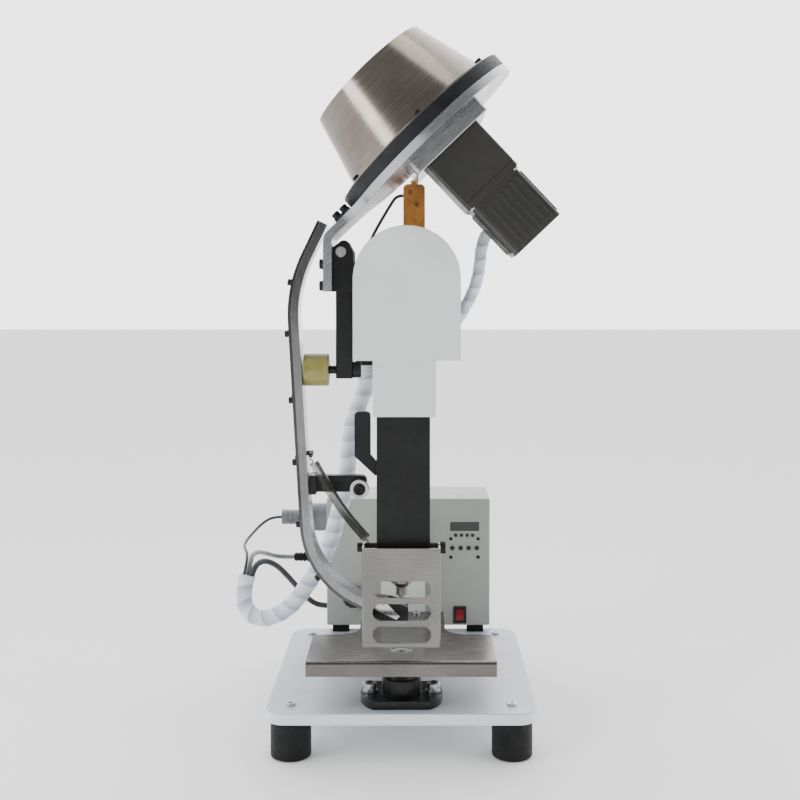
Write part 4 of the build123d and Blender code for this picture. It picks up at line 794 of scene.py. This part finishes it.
def settle(piece, body, material):
    """Puts a piece's place in its mesh, gives it its finish and lets it ride."""
    piece.data.transform(piece.matrix_world)
    piece.matrix_world = Matrix.Identity(4)
    piece.data.materials.clear()
    piece.data.materials.append(material)
    for face in piece.data.polygons:
        face.use_smooth = True
    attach(piece, body)


def turned_piece(name, place, way, outline, sides=32):
    """A piece turned on a lathe: outline is (radius, height) pairs along way."""
    bpy.ops.mesh.primitive_circle_add(
        vertices=sides, radius=outline[0][0], fill_type="NGON", location=(0, 0, 0)
    )
    made = bpy.context.object
    made.name = name
    bpy.ops.object.mode_set(mode="EDIT")
    bpy.ops.mesh.select_all(action="SELECT")
    bpy.ops.transform.translate(value=(0, 0, outline[0][1]))
    for (r0, h0), (r1, h1) in zip(outline, outline[1:]):
        bpy.ops.mesh.extrude_region_move(TRANSFORM_OT_translate={"value": (0, 0, h1 - h0)})
        scale = max(r1, 1e-5) / max(r0, 1e-5)
        bpy.ops.transform.resize(value=(scale, scale, 1), center_override=(0, 0, 0))
    bpy.ops.mesh.select_all(action="SELECT")
    bpy.ops.mesh.normals_make_consistent(inside=False)
    bpy.ops.object.mode_set(mode="OBJECT")
    turn = Vector(way).to_track_quat("Z", "Y").to_matrix().to_4x4()
    made.matrix_world = Matrix.Translation(place) @ turn
    bpy.context.view_layer.update()
    return made


LAMP_XS = (75.6, 83.8, 92.2, 100.2)
LAMP_Y, LAMP_Z = 279, 202.6
PANEL_SCREWS = ((68.4, 170.7), (108.1, 170.7), (68.4, 197.5), (108.1, 197.5))
PANEL_SCREW_Y = 277
SMALL_SIDES = 24
LAMP_OUTLINE = (
    (0.0024, 0.0), (0.0024, 0.0022), (0.0021, 0.0031), (0.0013, 0.0037), (0.0004, 0.0039),
)
PANEL_SCREW_OUTLINE = (
    (0.0024, 0.0), (0.0024, 0.0009), (0.0019, 0.0014), (0.0012, 0.0014), (0.0012, 0.0006),
)
lamp_lens = plastic("lamp_lens", (0.02, 0.012, 0.01), (0.05, 0.03, 0.02), 0.1, 0.02)
for number, x in enumerate(LAMP_XS, 1):
    lamp = turned_piece(
        f"panel_lamp_{number}", at(x, LAMP_Y, LAMP_Z), (0, -1, 0), LAMP_OUTLINE, SMALL_SIDES
    )
    settle(lamp, "frame", lamp_lens)
for number, (x, z) in enumerate(PANEL_SCREWS, 1):
    screw = turned_piece(
        f"panel_screw_{number}", at(x, PANEL_SCREW_Y, z), (0, -1, 0), PANEL_SCREW_OUTLINE,
        SMALL_SIDES
    )
    settle(screw, "frame", black_oxide)


# ---- Roller hub: a dark hub and screw head in the front of the bearing roller.

HUB_OUTLINE = (
    (0.0074, 0.0), (0.0074, 0.0006), (0.0068, 0.0011), (0.0052, 0.0011),
    (0.005, 0.0024), (0.0042, 0.003), (0.0024, 0.003), (0.0024, 0.0014),
)
hub = turned_piece("roller_hub", at(-50.6, -15.9, 319.5), (0, -1, 0), HUB_OUTLINE)
settle(hub, "roller", black_oxide)


# ---- Motor flange screws: four plated screws under the motor's flange, at its body's corners.

UP = Vector((-sin(HOPPER_TILT), 0, cos(HOPPER_TILT)))
ALONG = Vector((cos(HOPPER_TILT), 0, sin(HOPPER_TILT)))
HOPPER_AT = at(21.5, 0, 753)
RING_T, HOPPER_PLATE_T, MOUNT_T, GEARBOX_H, FLANGE_T = 0.016, 0.010, 0.017, 0.062, 0.008
FLANGE_LOW = -RING_T - HOPPER_PLATE_T - MOUNT_T - GEARBOX_H - FLANGE_T
MOTOR_U = 0.012  # from the drum's axis to the motor's
SCREW_OUT = 0.0345
SCREW_SEAT = 0.0003
MOTOR_SCREW_OUTLINE = (
    (0.0037, 0.0), (0.0037, 0.0028), (0.0031, 0.0035), (0.0019, 0.0035), (0.0019, 0.0018),
)
for number, (u, v) in enumerate(((-1, -1), (-1, 1), (1, -1), (1, 1)), 1):
    place = HOPPER_AT + ALONG * (MOTOR_U + SCREW_OUT * u) + Vector((0, SCREW_OUT * v, 0))
    place += UP * (FLANGE_LOW + SCREW_SEAT)
    screw = turned_piece(f"motor_screw_{number}", place, -UP, MOTOR_SCREW_OUTLINE, SMALL_SIDES)
    settle(screw, "feeder", zinc_steel)


# ---- Cable ties: narrow white nylon straps that close the wrap at its ends.

tie_nylon = plastic("tie_nylon", (0.66, 0.67, 0.68), (0.8, 0.81, 0.82), 0.32)
TIE_SIDES = 48
TIES = (
    (at(-215.7, 187.4, 163.0), (0.22, 0.18, 0.96)),
    (at(-46.0, 110.0, 451.0), (0, 0, -1)),
)
TIE_OUTLINE = (
    (0.0114, -0.0018), (0.0122, -0.0018), (0.0125, -0.0012),
    (0.0125, 0.0012), (0.0122, 0.0018), (0.0114, 0.0018),
)
for number, (place, way) in enumerate(TIES, 1):
    strap = turned_piece(f"cable_tie_{number}", place, way, TIE_OUTLINE, TIE_SIDES)
    settle(strap, "frame", tie_nylon)
